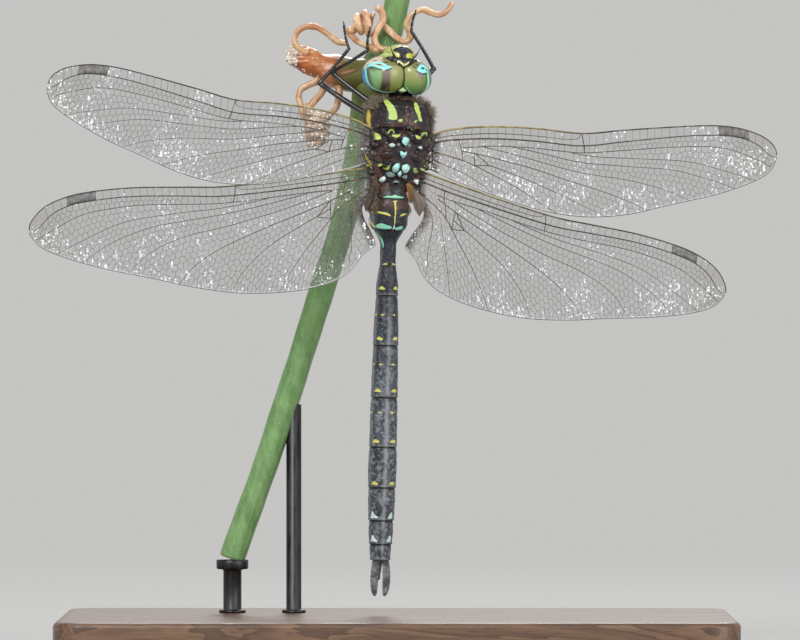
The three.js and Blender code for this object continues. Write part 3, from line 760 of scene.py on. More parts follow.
def abdomenRelief(phi, along, v):
    ends = np.array(v["segmentEnds"])
    i = np.clip(np.searchsorted(ends, along, side="right") - 1, 0, 9)
    start, end = ends[i], ends[i + 1]
    fromStart, toEnd = along - start, end - along
    t = fromStart / (end - start)
    mid = phi - tailMid(along, v)
    joint = np.minimum(fromStart, toEnd)
    rise = -0.13 * bell(joint, 0.09) + 0.06 * bell(toEnd - 0.22, 0.13) - 0.04 * bell(fromStart - 0.3, 0.2)
    rise += 0.03 * np.sin(np.pi * np.clip(t, 0, 1))
    # a ridge along the back and a fine rib across most rings
    rise += 0.07 * bell(mid, 3.5) * step01(along, 2.0, 3.0) * step01(48.0 - along, 0, 1)
    ribPlace = np.select([i == 1, i == 2], [0.48, 0.5], 0.37)
    rib = bell((t - ribPlace) * (end - start), 0.09) * (i >= 1) * (i <= 7)
    rise += 0.05 * rib * step01(110 - np.abs(mid), 0, 15)
    # side keel, and the belly folded in under it
    rise += 0.07 * bell(np.abs(mid) - 124, 7) * step01(along, 10, 14)
    rise -= 0.16 * bell(np.abs(mid) - 146, 9) * step01(along, 6, 9)
    # ear-like knobs on the second ring
    for side in (-1, 1):
        rise += 0.5 * bell(mid - side * 106, 11) * bell(along - 2.35, 0.55)
    lumps = 0.012 * np.sin(along * 3.1 + phi * 0.11) + 0.01 * np.sin(along * 7.7 - phi * 0.23)
    return rise + lumps


def ballRings(matrix, v, region):
    rows = []
    for w in np.linspace(v["from"], v["to"], v["rows"]):
        k = math.sqrt(max(v["least"], 1 - ((w - v["middle"]) / v["long"]) ** 2))
        rows.append((matrix, v["depth"], v["half"][0] * k, v["half"][1] * k, 2.0, w, region))
    return rows


def bodyRings(v):
    # rows of (matrix, depth, half width, half depth, exponent, place along its own axis, region)
    rows = ballRings(headMatrix, v["headBack"], 0)
    neck = v["neck"]
    for t in np.linspace(*neck["shares"], neck["rows"]):
        middle = [a + (b - a) * t for a, b in zip(neck["from"], neck["to"])]
        roll = pose["headRoll"] + (pose["bodyRoll"] - pose["headRoll"]) * t
        matrix = regionMatrix(middle, roll, neck["lean"])
        rows.append((matrix, neck["depth"], neck["half"], neck["half"], 2.0, 0.0, 0.5))
    rows += ballRings(thoraxMatrix, v["collar"], 1)
    wide = profile(v["thoraxWidth"])
    front, rear = v["thoraxPlaces"]
    for w in np.arange(front, rear, -v["thoraxRow"]):
        # the last stretch is drawn in to meet the waist
        k = float(wide(w)) * (0.86 + 0.14 * float(step01(np.array(w), rear, -5.0)))
        rows.append((
            thoraxMatrix, v["thoraxDrop"] * k, v["thoraxHalfWidth"] * k, v["thoraxHalfDepth"] * k,
            v["thoraxExponent"], w, 1,
        ))
    wideTail, deepTail = profile(v["abdomenWidth"]), profile(v["abdomenDepth"])
    length = v["segmentEnds"][-1]
    for along in np.arange(0.3, length, v["abdomenRow"]):
        half = float(wideTail(along))
        rows.append((abdomenMatrix, 0.0, half, half * float(deepTail(along)), 2.15, along, 2))
    return rows


def buildSkin(v, material):
    columns = v["columns"]
    s = np.arange(columns) / columns
    phi = 2 * np.pi * s - v["dorsalCrowding"] * np.sin(2 * np.pi * s)
    degrees = np.degrees((phi + np.pi) % (2 * np.pi) - np.pi)
    points, info = [], []
    for matrix, drop, halfU, halfV, exponent, place, region in bodyRings(v):
        x, y = around(phi, exponent)
        radius = 0.5 * (halfU + halfV)
        if region == 1 and place < v["thoraxEnd"]:
            extra = thoraxRelief(degrees, np.full(columns, place), radius, v)
        elif region == 2:
            extra = abdomenRelief(degrees, np.full(columns, place), v)
        else:
            extra = 0.05 * np.sin(phi * 6 + place * 3)
        u = halfU * x + extra * np.sin(phi)
        d = drop - halfV * y - extra * np.cos(phi)
        along = np.full(columns, {2: -place, 0.5: 0.0}.get(region, place))
        points.append(moved(matrix, np.stack([u, d, along], -1)))
        info.append((region, place, radius))
    grid = np.array(points)
    region, place, radius = (np.repeat(values[:, None], columns, 1) for values in np.array(info, float).T)
    angle = np.repeat(degrees[None], len(grid), 0)
    # one unwrap of the whole body: round it across, along it up
    lengths = np.concatenate([[0], np.cumsum(np.linalg.norm(np.diff(grid.mean(1), axis=0), axis=1))])
    up = 0.02 + 0.96 * lengths / lengths[-1]
    across = 0.02 + 0.96 * ((angle + 180) / 360)
    uvGrid = np.stack([across, np.repeat(up[:, None], columns, 1)], -1)
    uv = np.vstack([uvGrid.reshape(-1, 2), [[0.5, up[0]], [0.5, up[-1]]]])
    marks = ringMarks(skinMarks(region, place, angle, radius, v))
    return meshObject("skin", ringData(grid), material, marks, uv), grid, uvGrid, region, place, angle


def skinMarks(region, place, phi, radius, v):
    # each colour's marks as a distance in mm, positive inside, and other numbers for the material
    tail = region == 2
    parts = {
        "thorax": ((region == 1) & (place < v["thoraxEnd"]), np.maximum(radius, v["markRadius"])),
        "tail": (tail, radius),
    }
    kinds = {"patch": patch, "stroke": stroke, "spot": spot}
    far = np.full(place.shape, -9.0)
    marks = {}
    for part, colour, kind, places, shapes in v["marks"]:
        where, size = parts[part]
        for at in places:
            for shape in shapes:
                depth = np.where(where, kinds[kind](phi, place - at, size, *shape), far)
                marks[colour] = np.maximum(marks.get(colour, far), depth)
    ends = v["segmentEnds"]
    joint = np.min([np.abs(place - e) for e in ends[1:]], axis=0)
    lip = bell(np.min([np.abs(place - e + 0.24) for e in ends[2:]], axis=0), 0.07)
    bloom = (0.12 + 0.88 * step01(place, 8, 33)) * step01(joint, 0.06, 0.4)
    degrees = (phi + 180) % 360 - 180
    # painted highlight: pale lines down the middle of the tail's back and along its two outer sides
    sheenLines = bell(degrees + 6, 8) * step01(place, 9, 24) + 0.6 * bell(np.abs(degrees) - 84, 13)
    marks.update({
        "bloom": tail * bloom, "sheenLines": tail * sheenLines, "lip": tail * lip, "tail": tail * 1.0,
        "joint": np.where(tail, joint, 1.0), "head": (region < 1) * 1.0,
    })
    return marks


def skinMaterial():
    look = Finish("darkShell", {"IOR": 1.4, "Coat IOR": 1.4, "Coat Roughness": 0.2, "Coat Weight": 0.16})
    mottle = look.noise(900, 4)
    coarse = look.noise(260, 3)
    tail = look.mark("tail")
    brown = blend(coarse.span(0.35, 0.65), (0.007, 0.005, 0.007), (0.022, 0.014, 0.017))
    slate = blend(mottle.span(0.3, 0.7), (0.005, 0.007, 0.01), (0.016, 0.021, 0.028))
    colour = blend(tail, brown, slate)
    # a grey-blue dust that grows towards the tail's end, in streaks along it
    streaks = look.noise(700, 5, 0.65, look.place(scale=(1.6, 1.6, 0.35)))
    dust = look.mark("bloom") * streaks.span(0.34, 0.72)
    colour = blend(dust * 0.8, colour, (0.1, 0.12, 0.145))
    net = look.noise(2100, 5, 0.6).span(0.47, 0.62)
    net = net * look.mark("bloom")
    colour = blend(net * 0.62, colour, (0.26, 0.285, 0.31))
    # pale grey on the painted highlight lines and on the rear lips of the rings
    ridge = look.mark("sheenLines").orMore(look.mark("lip") * 0.8)
    ridge = ridge * mottle.span(0.3, 0.6, 0.25, 0.85)
    colour = blend(ridge, colour, (0.27, 0.28, 0.29))
    specks = look.noise(5200, 3, 0.7).span(0.6, 0.74)
    pale = specks * 0.3
    colour = blend(pale, colour, (0.17, 0.175, 0.18))
    warp = (look.noise(2400, 3) - 0.5) * 0.16

    def edge(name, soft):
        return (look.mark(name) + warp).span(-soft, soft)

    rustColour = blend(mottle.span(0.35, 0.65), (0.04, 0.017, 0.013), (0.12, 0.05, 0.036))
    colour = blend(edge("rust", 0.22) * 0.72, colour, rustColour)
    lime = blend(coarse.span(0.4, 0.62), (0.5, 0.6, 0.11), (0.43, 0.58, 0.16))
    yellow = blend(edge("golden", 0.1), lime, (0.62, 0.5, 0.05))
    yellow = blend(tail, yellow, (0.6, 0.56, 0.13))
    colour = blend(edge("yellow", 0.035), colour, yellow)
    aqua = blend(mottle.span(0.35, 0.65), (0.36, 0.74, 0.68), (0.55, 0.86, 0.8))
    tailAqua = blend(coarse.span(0.4, 0.6), (0.1, 0.5, 0.42), (0.3, 0.68, 0.46))
    colour = blend(edge("cyan", 0.035), colour, blend(tail, aqua, tailAqua))
    chalk = blend(mottle.span(0.3, 0.7), (0.42, 0.58, 0.56), (0.74, 0.86, 0.83))
    chalk = blend(look.mark("grey").span(-0.02, 0.04), chalk, (0.2, 0.27, 0.25))
    colour = blend(edge("white", 0.04), colour, chalk)
    # the rings' edges are darker, the parts hidden behind the head brown
    seam = look.mark("joint").span(0.03, 0.16, 0.75, 0)
    colour = blend(seam, colour, (0.006, 0.006, 0.007))
    colour = blend(look.mark("head") * 0.8, colour, (0.03, 0.022, 0.02))
    rough = look.noise(1500, 3).span(0.3, 0.7, 0.24, 0.46)
    rough = rough.maths("ADD", dust * 0.22, clamp=True)
    pits = look.cells(9000)
    grain = look.bump(look.noise(6500, 4), 0.35, 0.00008)
    normal = look.bump(pits, 0.22, 0.00006, grain)
    return look.done(colour, rough=rough, normal=normal)


skin, skinGrid, skinUv, skinRegion, skinPlace, skinAngle = buildSkin(bodySettings, skinMaterial())
onBody(skin, "shell", "head", "prothorax", "thorax", *[f"abdomen_{i}" for i in range(1, 11)])
print("stage: skin built,", len(skin.data.polygons), "faces")

# the eyes: two rounded balls that meet along the top of the head
eyeSettings = {
    "centre": (1.8, -0.1, -0.5),
    "half": (2.7, 3.6, 2.53),
    "exponent": 2.15,
    "seamGap": 0.045,
    "seamBend": 0.17,
    "rows": 170,
    "columns": 210,
    # how far the outer corners are drawn in, rear and front
    "corners": {"left": (0.05, 0.02), "right": (-0.1, 0.16)},
    # marks on a chart of degrees from the top of each eye: outward, ahead, half width
    "rim": {
        "left": [
            (86, 29, 3.3), (84, 12, 3.8), (82, -3, 4), (80, -18, 4.2), (75, -36, 4.4), (65, -51, 4.3),
            (51, -61, 4.2), (30, -66, 4), (10, -67, 3.8), (-6, -66, 3.4), (-23, -64, 2.8), (-33, -58, 2),
            (-42, -49, 1.6),
        ],
        # on the right eye the broad band is partly real colour and partly a painted reflection
        "right": [
            (31, 16, 2.1), (30, 4, 3.2), (33, -13, 4.4), (36, -28, 4.6), (38, -43, 4.4), (35, -57, 4.2),
            (27, -67, 4.2), (11, -71, 4), (-9, -64, 3.6), (-24, -52, 2.8), (-33, -41, 2),
        ],
    },
    "arc": {
        "left": [
            [(86, 29, 4), (76, 35, 4), (65, 40, 4), (52, 41, 4), (41, 38, 3.5), (32, 34, 3.5),
                (24, 29, 3.5), (17, 25, 3), (8, 22, 1.5)],
            [(80, 31, 3), (61, 32, 4), (51, 28, 4), (42, 23, 3.5), (34, 20, 4), (22, 18, 4), (12, 20, 3.5),
                (4, 22, 1)],
        ],
        "right": [
            [(-4, 17, 2), (4, 15, 5), (14, 13, 6), (27, 17, 6), (33, 22, 4)],
            [(-3, 18, 2), (3, 23, 4), (12, 30, 5), (24, 29, 5), (33, 25, 3)],
        ],
    },
    # outward, ahead, half length, half width, turn
    "dark": {
        "left": [
            (38, 30.3, 9, 2.6, 18), (16, 26.5, 3, 1.2, 30), (47, 51, 8, 3.2, 5), (77, 38.5, 7, 2.6, -35),
            (20, 37, 8, 2.6, 4), (-1, 40, 6, 2.6, 0), (20, 50, 6, 2.4, 5),
        ],
        "right": [
            (12, 21.5, 5.5, 4.2, -20), (27, 18, 3.2, 5, -25), (8, 42, 4.2, 3.4, 0), (-3, 31, 5.5, 2.4, -35),
            (-12, 22, 5, 2, -40),
        ],
    },
    "shadow": {
        "left": [(62, 24, 2), (52, 21, 2.6), (42, 15, 2.8), (31, 12.5, 2.8), (20, 13, 2.8), (6, 17, 2.4)],
        "right": [(-10, 12, 1.5), (-2, 7, 3.2), (8, 4, 4), (22, 6, 3.6)],
    },
    "loop": {
        "left": [
            (86, 29), (84, 11), (82, -3), (80, -18), (75, -36), (65, -51), (51, -61), (30, -66), (10, -67),
            (-6, -66), (-23, -64), (-33, -58), (-80, -49), (-80, 30), (5, 24), (10, 20), (22, 18), (34, 19),
            (42, 22), (51, 28), (61, 32), (78, 32),
        ],
        "right": [
            (31, 16), (30, 4), (33, -13), (36, -28), (38, -43), (35, -57), (27, -67), (11, -71), (-9, -64),
            (-24, -52), (-33, -41), (-80, -41), (-80, 30), (-20, 26), (-4, 17), (4, 11), (14, 9), (24, 12),
        ],
    },
    # the wine-brown field on the top of each eye: middle line and half width
    "mauve": {
        "left": [(20, 12, 13), (20, -8, 13), (19, -28, 14), (17, -46, 15), (14, -60, 16)],
        "right": [(4, 2, 11), (9, -6, 6), (11, -16, 2)],
    },
}


def buildEye(label, v, material):
    side = -1 if label == "left" else 1
    n = v["exponent"]
    cut = (v["centre"][0] - v["seamGap"]) / v["half"][0]
    last = math.pi / 2 + math.atan2(cut, (1 - cut**n) ** (1 / n))
    theta = np.linspace(0.004, last, v["rows"])[:, None]
    ring, out = around(theta, n)
    a, b = around(ringAngles(v["columns"])[None, :], n)
    x = out * np.ones_like(a)
    low, front = ring * b, ring * a
    # rounded in towards the seam, and the outer corners drawn in
    fromSeam = (x + cut) * v["half"][0]
    tuck = 1 - 0.035 * np.clip(1 - fromSeam / 0.4, 0, 1) ** 2
    rear, ahead = v["corners"][label]
    draw = 1 - rear * 2 * np.clip(x, 0, 1) * np.clip(-front, 0, 1)
    draw *= 1 - ahead * 2 * np.clip(x, 0, 1) * np.clip(front, 0, 1)
    bend = v["seamBend"] * -front * np.clip(1 - fromSeam / 3, 0, 1)
    local = np.stack([
        side * (v["centre"][0] + v["half"][0] * x * draw) + bend,
        v["centre"][1] + v["half"][1] * low * tuck,
        v["centre"][2] + v["half"][2] * front * tuck * draw,
    ], -1)
    # the chart: degrees from the top of the eye
    far = np.degrees(np.arccos(np.clip(-low / np.sqrt(x * x + low * low + front * front), -1, 1)))
    bearing = np.arctan2(front, x)
    cx, cy = far * np.cos(bearing), far * np.sin(bearing)

    def along(line):
        fine = catmull(line, 8 * len(line))
        return strokeMark(cx, cy, fine[:, :2].tolist(), fine[:, 2].tolist())

    dark = [ovalMark(cx, cy, item[:2], item[2:4], item[4]) for item in v["dark"][label]]
    marks = {
        "rim": along(v["rim"][label]),
        "arc": np.maximum(*[along(line) for line in v["arc"][label]]),
        "dark": np.max(dark, axis=0),
        "shadow": along(v["shadow"][label]),
        "loop": loopMark(cx, cy, v["loop"][label]),
        "mauve": along(v["mauve"][label]),
        "outward": cx,
        "frontness": cy,
        "seamFar": fromSeam,
        "sideways": np.full(cx.shape, 1.0 if label == "right" else 0.0),
    }
    data = ringData(moved(headMatrix, local))
    return meshObject(f"eyeball_{label}", data, material, ringMarks(marks))


def eyeMaterial():
    look = Finish("eyeFacets", {
        "IOR": 1.4, "Coat Weight": 0.8, "Coat Roughness": 0.06, "Coat IOR": 1.45, "Roughness": 0.42,
    })
    soft = (look.noise(900, 3) - 0.5) * 9.0
    x = look.mark("outward") + soft
    y = look.mark("frontness") + soft
    isRight = look.mark("sideways")
    olive = blend(y.span(-35, 15), (0.22, 0.27, 0.065), (0.3, 0.315, 0.12))
    green = blend(y.span(-60, 10), (0.15, 0.35, 0.1), (0.24, 0.46, 0.2))
    leftColour = blend(x.span(22, 42), olive, green)
    rightGreen = blend(x.span(2, 26), (0.19, 0.35, 0.1), (0.085, 0.16, 0.05))
    rightColour = blend(y.span(-48, -6, 1, 0), olive, rightGreen)
    rightColour = blend(x.span(8, 24), rightColour, rightGreen)
    colour = blend(isRight, leftColour, rightColour)
    mauve = blend(y.span(-45, 5), (0.03, 0.022, 0.018), (0.2, 0.145, 0.125))
    colour = blend(look.mark("mauve").span(-2, 6) * 0.95, colour, mauve)
    # a dark band inside the side of the bright line
    inner = look.mark("loop").span(24, 11) * look.mark("outward").span(40, 62)
    colour = blend(inner * 0.85, colour, (0.022, 0.032, 0.022))
    shadow = look.mark("shadow").span(-1.5, 1.5)
    colour = blend(shadow * 0.85, colour, (0.03, 0.04, 0.028))
    # outside the bright line: cream and olive ahead, blue at the side, dark behind and below
    cream = blend(x.span(14, 44), (0.19, 0.185, 0.055), (0.7, 0.6, 0.46))
    cream = blend(isRight * x.span(14, 30), cream, (0.08, 0.16, 0.1))
    cream = blend(y.span(74, 88), cream, (0.1, 0.09, 0.05))
    blue = blend(look.mark("outward").span(98, 122), (0.02, 0.29, 0.62), (0.012, 0.05, 0.09))
    under = blend(1.0 - isRight, (0.012, 0.035, 0.026), blue)
    under = blend(look.mark("frontness").span(-44, -62), under, (0.01, 0.022, 0.016))
    ahead = y.span(20, 34).orMore(x.span(72, 50))
    ahead = ahead * look.mark("frontness").span(-20, 5)
    beyond = blend(ahead, under, cream)
    colour = blend(look.mark("loop").span(1.5, -1.5), colour, beyond)
    aqua = blend(x.span(-20, 75), (0.42, 0.78, 0.55), (0.25, 0.8, 0.76))
    # on the right eye the broad mint band is partly a painted reflection
    aqua = blend(isRight, aqua, (0.33, 0.84, 0.55))
    colour = blend(look.mark("rim").span(-1.2, 1.2), colour, aqua)
    colour = blend(look.mark("arc").span(-1.2, 1.2), colour, (0.27, 0.82, 0.8))
    colour = blend(look.mark("dark").span(-1.2, 1.6), colour, (0.02, 0.035, 0.025))
    seamFar = look.mark("seamFar")
    paleLine = seamFar.span(0.1, 0.16) * seamFar.span(0.26, 0.19)
    colour = blend(paleLine * 0.5, colour, (0.42, 0.5, 0.24))
    # painted shade: dark where the two eyes meet
    colour = blend(seamFar.span(0.0, 0.045, 1, 0), colour, (0.02, 0.022, 0.012))
    facets = look.cells(21000, feature="DISTANCE_TO_EDGE", randomness=0.25)
    normal = look.bump(facets.span(0.0, 0.2), 0.12, 0.00001)
    return look.done(colour, normal=normal)


eyeFinish = eyeMaterial()
for eyeLabel in ("left", "right"):
    onBody(buildEye(eyeLabel, eyeSettings, eyeFinish), "eyes", f"eye_{eyeLabel}")
print("stage: eyes built")

# the face: vertex, frons, clypeus, lip and jaws, and the two short feelers
faceSettings = {
    # name, centre, half size, exponent, columns, rows
    "plates": [
        ("vertex", (-0.22, -2.5, 1.12), (1.25, 0.85, 0.66), 2.3, 84, 52),
        ("frons", (0.06, -0.6, 1.6), (2.12, 2.42, 1.92), 2.2, 150, 110),
        ("clypeus", (0.15, 1.05, 1.35), (1.86, 1.1, 1.55), 2.5, 80, 48),
        ("lip", (0.22, 1.9, 0.95), (1.62, 0.95, 1.45), 2.4, 72, 40),
        ("jawLeft", (-0.8, 2.4, 0.25), (0.8, 0.75, 1.35), 2.2, 40, 28),
        ("jawRight", (1.05, 2.4, 0.25), (0.8, 0.75, 1.35), 2.2, 40, 28),
        ("chin", (0.1, 2.75, -0.5), (1.5, 0.62, 1.1), 2.3, 48, 30),
        ("cheekLeft", (-1.75, 0.5, 0.9), (0.62, 1.9, 1.0), 2.2, 40, 30),
        ("cheekRight", (1.95, 0.5, 0.9), (0.62, 1.9, 1.0), 2.2, 40, 30),
        ("occiput", (0.02, -2.3, -2.45), (0.46, 0.46, 0.34), 2.0, 32, 24),
        ("brow", (-0.1, -2.05, 1.15), (1.7, 1.2, 0.72), 2.8, 72, 40),
        ("browLeft", (-1.45, -1.78, 1.5), (0.95, 1.2, 0.46), 2.3, 48, 32),
        ("browRight", (1.3, -1.85, 1.3), (0.78, 1.12, 0.46), 2.3, 48, 32),
        ("cornerLeft", (-1.7, -0.9, 1.78), (0.95, 1.35, 0.5), 2.3, 48, 32),
    ],
    # the black cap on the brow and its stalk, across and ahead in mm
    "cap": [
        (-1.42, 2.66), (-1.0, 2.98), (-0.3, 3.2), (0.45, 3.14), (0.98, 2.88), (1.36, 2.5), (1.22, 2.3),
        (0.6, 2.36), (0.3, 2.28), (0.16, 2.1), (0.2, 1.7), (0.5, 1.5), (-1.1, 1.5), (-0.76, 1.72),
        (-0.72, 2.18), (-0.92, 2.36), (-1.2, 2.45),
    ],
    "feeler": [
        (1.25, -2.75, 1.7), (1.58, -2.9, 2.1), (1.82, -2.98, 2.5), (2.02, -3.04, 2.95), (2.16, -3.08, 3.4),
    ],
    "rearMark": (
        [(-0.9, 1.2), (-0.55, 0.92), (-0.2, 0.72), (0.15, 0.88), (0.42, 1.16)],
        [0.1, 0.14, 0.19, 0.14, 0.08],
    ),
    "feelerRadii": [0.15, 0.14, 0.065, 0.042, 0.022],
    "feelerRows": 28,
}


def plateRelief(name, points, ways, centre, half, v):
    # how far a plate's points are pushed along their own directions, mm
    x, y, z = points.T
    if name == "frons":
        # a shallow furrow down the brow, a soft shelf above the clypeus and a low welt round the cap
        push = -0.07 * bell(x, 0.22) * step01(z, 2.2, 3.2) * step01(y + 2.2, 0, 0.5)
        push -= 0.12 * bell(y - 1.1, 0.25)
        push += 0.012 * np.sin(x * 9) * np.sin(y * 8 + z * 5)
        push += np.where(y < -1, 0.05 * bell(loopMark(x, z, v["cap"]) - 0.06, 0.07), 0)
        points = points + ways * push[:, None]
    if name == "vertex":
        points[:, 1] -= 0.12 * bell(np.abs(x + 0.1) - 0.5, 0.26) * step01(-y, 2.6, 3.2)
    if name == "occiput":
        points[:, 0] *= 1 - 0.85 * np.clip((z - centre[2]) / half[2], -0.2, 1)
    if name == "lip":
        points = points - ways * (0.1 * bell(x, 0.14) * step01(z, 1.6, 2.4))[:, None]
    return points


def faceMarks(plate, u, d, w, v):
    # across, depth and height on the head, mm
    far = np.full(u.shape, -9.0)
    cap = np.where((d < -1.0) & (plate == 1), loopMark(u, w, v["cap"]), far)
    band = np.minimum(1.66 + 0.42 * np.clip(-u - 1.2, 0, 1) - w, -0.6 - d)
    rear = strokeMark(u, w, *v["rearMark"])
    rear = np.maximum(rear, ovalMark(u, w, (-1.1, 1.12), (0.17, 0.19)))
    # the dark plates, the cap, and the dark edges of the lower plates
    dark = [
        ((plate == 0) | ((plate >= 10) & (plate < 13)), 0.5),
        (plate == 1, np.maximum(cap, band)),
        (plate == 2, 0.1 - np.abs(d - 1.75)),
        (plate == 3, np.maximum(0.13 - np.abs(d - 2.55), 0.09 - np.abs(u - 0.22))),
        ((plate == 4) | (plate == 5), 0.3 - np.abs(d - 2.8)),
        ((plate == 7) | (plate == 8), w * 0.7 - 1.05),
    ]
    black = np.max([np.where(where, depth, far) for where, depth in dark], axis=0)
    pale = np.where((plate == 0) & (d < -2.3), rear, far)
    return {"black": black, "pale": pale, "plate": plate, "cap": cap, "w": w, "u": u}


def buildFace(v, material):
    parts, plates = [], []
    for index, (name, centre, half, exponent, columns, rows) in enumerate(v["plates"]):
        points, faces, ways = ballData(centre, half, columns, rows, exponent)
        parts.append((plateRelief(name, points, ways, centre, half, v), faces))
        plates.append(np.full(len(points), float(index)))
    local, faces = joinData(parts)
    marks = faceMarks(np.concatenate(plates), *local.T, v)
    return meshObject("facePlates", (moved(headMatrix, local), faces), material, marks)


def faceMaterial():
    look = Finish("faceShell", {"IOR": 1.42, "Coat Roughness": 0.12, "Coat Weight": 0.4})
    mottle = look.noise(1300, 4)
    warp = (look.noise(2600, 3) - 0.5) * 0.05
    green = blend(mottle.span(0.3, 0.7), (0.33, 0.39, 0.08), (0.5, 0.56, 0.19))
    ochre = blend(look.mark("w").span(2.9, 3.3) * 0.6, green, (0.3, 0.27, 0.07))
    yellow = blend(mottle.span(0.3, 0.7), (0.42, 0.39, 0.04), (0.62, 0.58, 0.1))
    bright = blend(look.mark("w").span(2.15, 2.6), yellow, ochre)
    bright = blend(look.mark("u").span(-1.7, -1.3), ochre, bright)
    isOcciput = look.mark("plate").maths("COMPARE", 9.0)
    colour = blend(isOcciput, bright, (0.45, 0.62, 0.3))
    black = (look.mark("black") + warp).span(-0.025, 0.03)
    # the cap is black, with a lighter grey-violet inside it that is painted sheen
    capSheen = blend(look.noise(2200, 3).span(0.42, 0.62), (0.02, 0.02, 0.028), (0.075, 0.065, 0.11))
    inside = look.mark("cap").span(0.1, 0.2) * look.mark("w").span(2.25, 2.45)
    capInkAndSheen = blend(inside, (0.008, 0.008, 0.01), capSheen)
    colour = blend(black, colour, capInkAndSheen)
    colour = blend(look.mark("pale").span(-0.02, 0.05), colour, (0.78, 0.77, 0.4))
    normal = look.bump(look.noise(7000, 4), 0.25, 0.00006)
    rough = look.noise(2500, 2).span(0.3, 0.7, 0.25, 0.42)
    return look.done(colour, rough=rough, normal=normal)


def hornMaterial(name, dark, light, rough=(0.16, 0.34), coat=0.5):
    # the black, glassy shell of legs, feelers and claspers
    look = Finish(name, {"IOR": 1.5, "Coat Roughness": 0.08, "Coat Weight": coat})
    mottle = look.noise(1600, 4)
    colour = blend(mottle.span(0.35, 0.7), dark, light)
    scuffs = look.noise(900, 5, 0.7, look.place(scale=(1, 1, 0.4))).span(0.62, 0.75)
    colour = blend(scuffs * 0.35, colour, tuple((c * 3 + 0.03 for c in light)))
    roughness = look.noise(2500, 3).span(0.3, 0.7, *rough)
    return look.done(colour, rough=roughness, normal=look.bump(look.noise(8000, 3), 0.3, 0.00005))


def buildFeelers(v, material):
    rows, stations = v["feelerRows"], len(v["feelerRadii"])
    for side, label in ((-1, "left"), (1, "right")):
        path = catmull([(side * x, y, z) for x, y, z in v["feeler"]], rows)
        radius = np.interp(np.linspace(0, stations - 1, rows), range(stations), v["feelerRadii"])
        points, faces = tubeData(path, radius)
        feeler = meshObject(f"feeler_{label}", (moved(headMatrix, points), faces), material)
        onBody(feeler, "legs", f"antenna_{label}")


legShell = hornMaterial("legShell", (0.006, 0.006, 0.008), (0.02, 0.02, 0.024))
onBody(buildFace(faceSettings, faceMaterial()), "face", "face")
buildFeelers(faceSettings, legShell)
print("stage: face and feelers built")


# strands: edges with a radius at each point become thin solid tubes
def strandGroup(name, material):
    tree, given, keys = nodeGroup(name, {"Sides": "Int", "Thickness": "Float"})
    curve = put(tree, "GeometryNodeMeshToCurve", {"Mesh": given["Geometry"]})
    named = put(tree, "GeometryNodeInputNamedAttribute", {"Name": "radius"}, data_type="FLOAT")
    sockets = {0: named.outputs["Attribute"], 1: given["Thickness"]}
    radius = put(tree, "ShaderNodeMath", sockets, operation="MULTIPLY")
    circle = put(tree, "GeometryNodeCurvePrimitiveCircle", {"Resolution": given["Sides"], "Radius": 1.0})
    sockets = {
        "Curve": curve.outputs[0], "Profile Curve": circle.outputs[0], "Scale": radius.outputs[0],
        "Fill Caps": True,
    }
    sweep = put(tree, "GeometryNodeCurveToMesh", sockets)
    closeGroup(tree, sweep.outputs[0], material)
    return tree, keys


def strands(name, paths, radii, material, sides=5, extra=None):
    # paths are lists of points in metres, radii in mm; extra holds more numbers to keep at each point
    lengths = [len(path) for path in paths]
    edge = np.ones(sum(lengths), bool)
    edge[np.cumsum(lengths) - 1] = False
    first = np.flatnonzero(edge)
    mesh = bpy.data.meshes.new(name + "Paths")
    mesh.from_pydata(np.vstack(paths).tolist(), np.stack([first, first + 1], -1).tolist(), [])
    numbers = {"radius": radii, **(extra or {})}
    flat = {key: np.concatenate(values) for key, values in numbers.items()}
    flat["radius"] = flat["radius"] * mm
    keepMarks(mesh, flat)
    tree, keys = strandGroup(name + "Nodes", material)
    return evaluated(name, mesh, tree, keys, {"Sides": sides, "Thickness": 1.0})


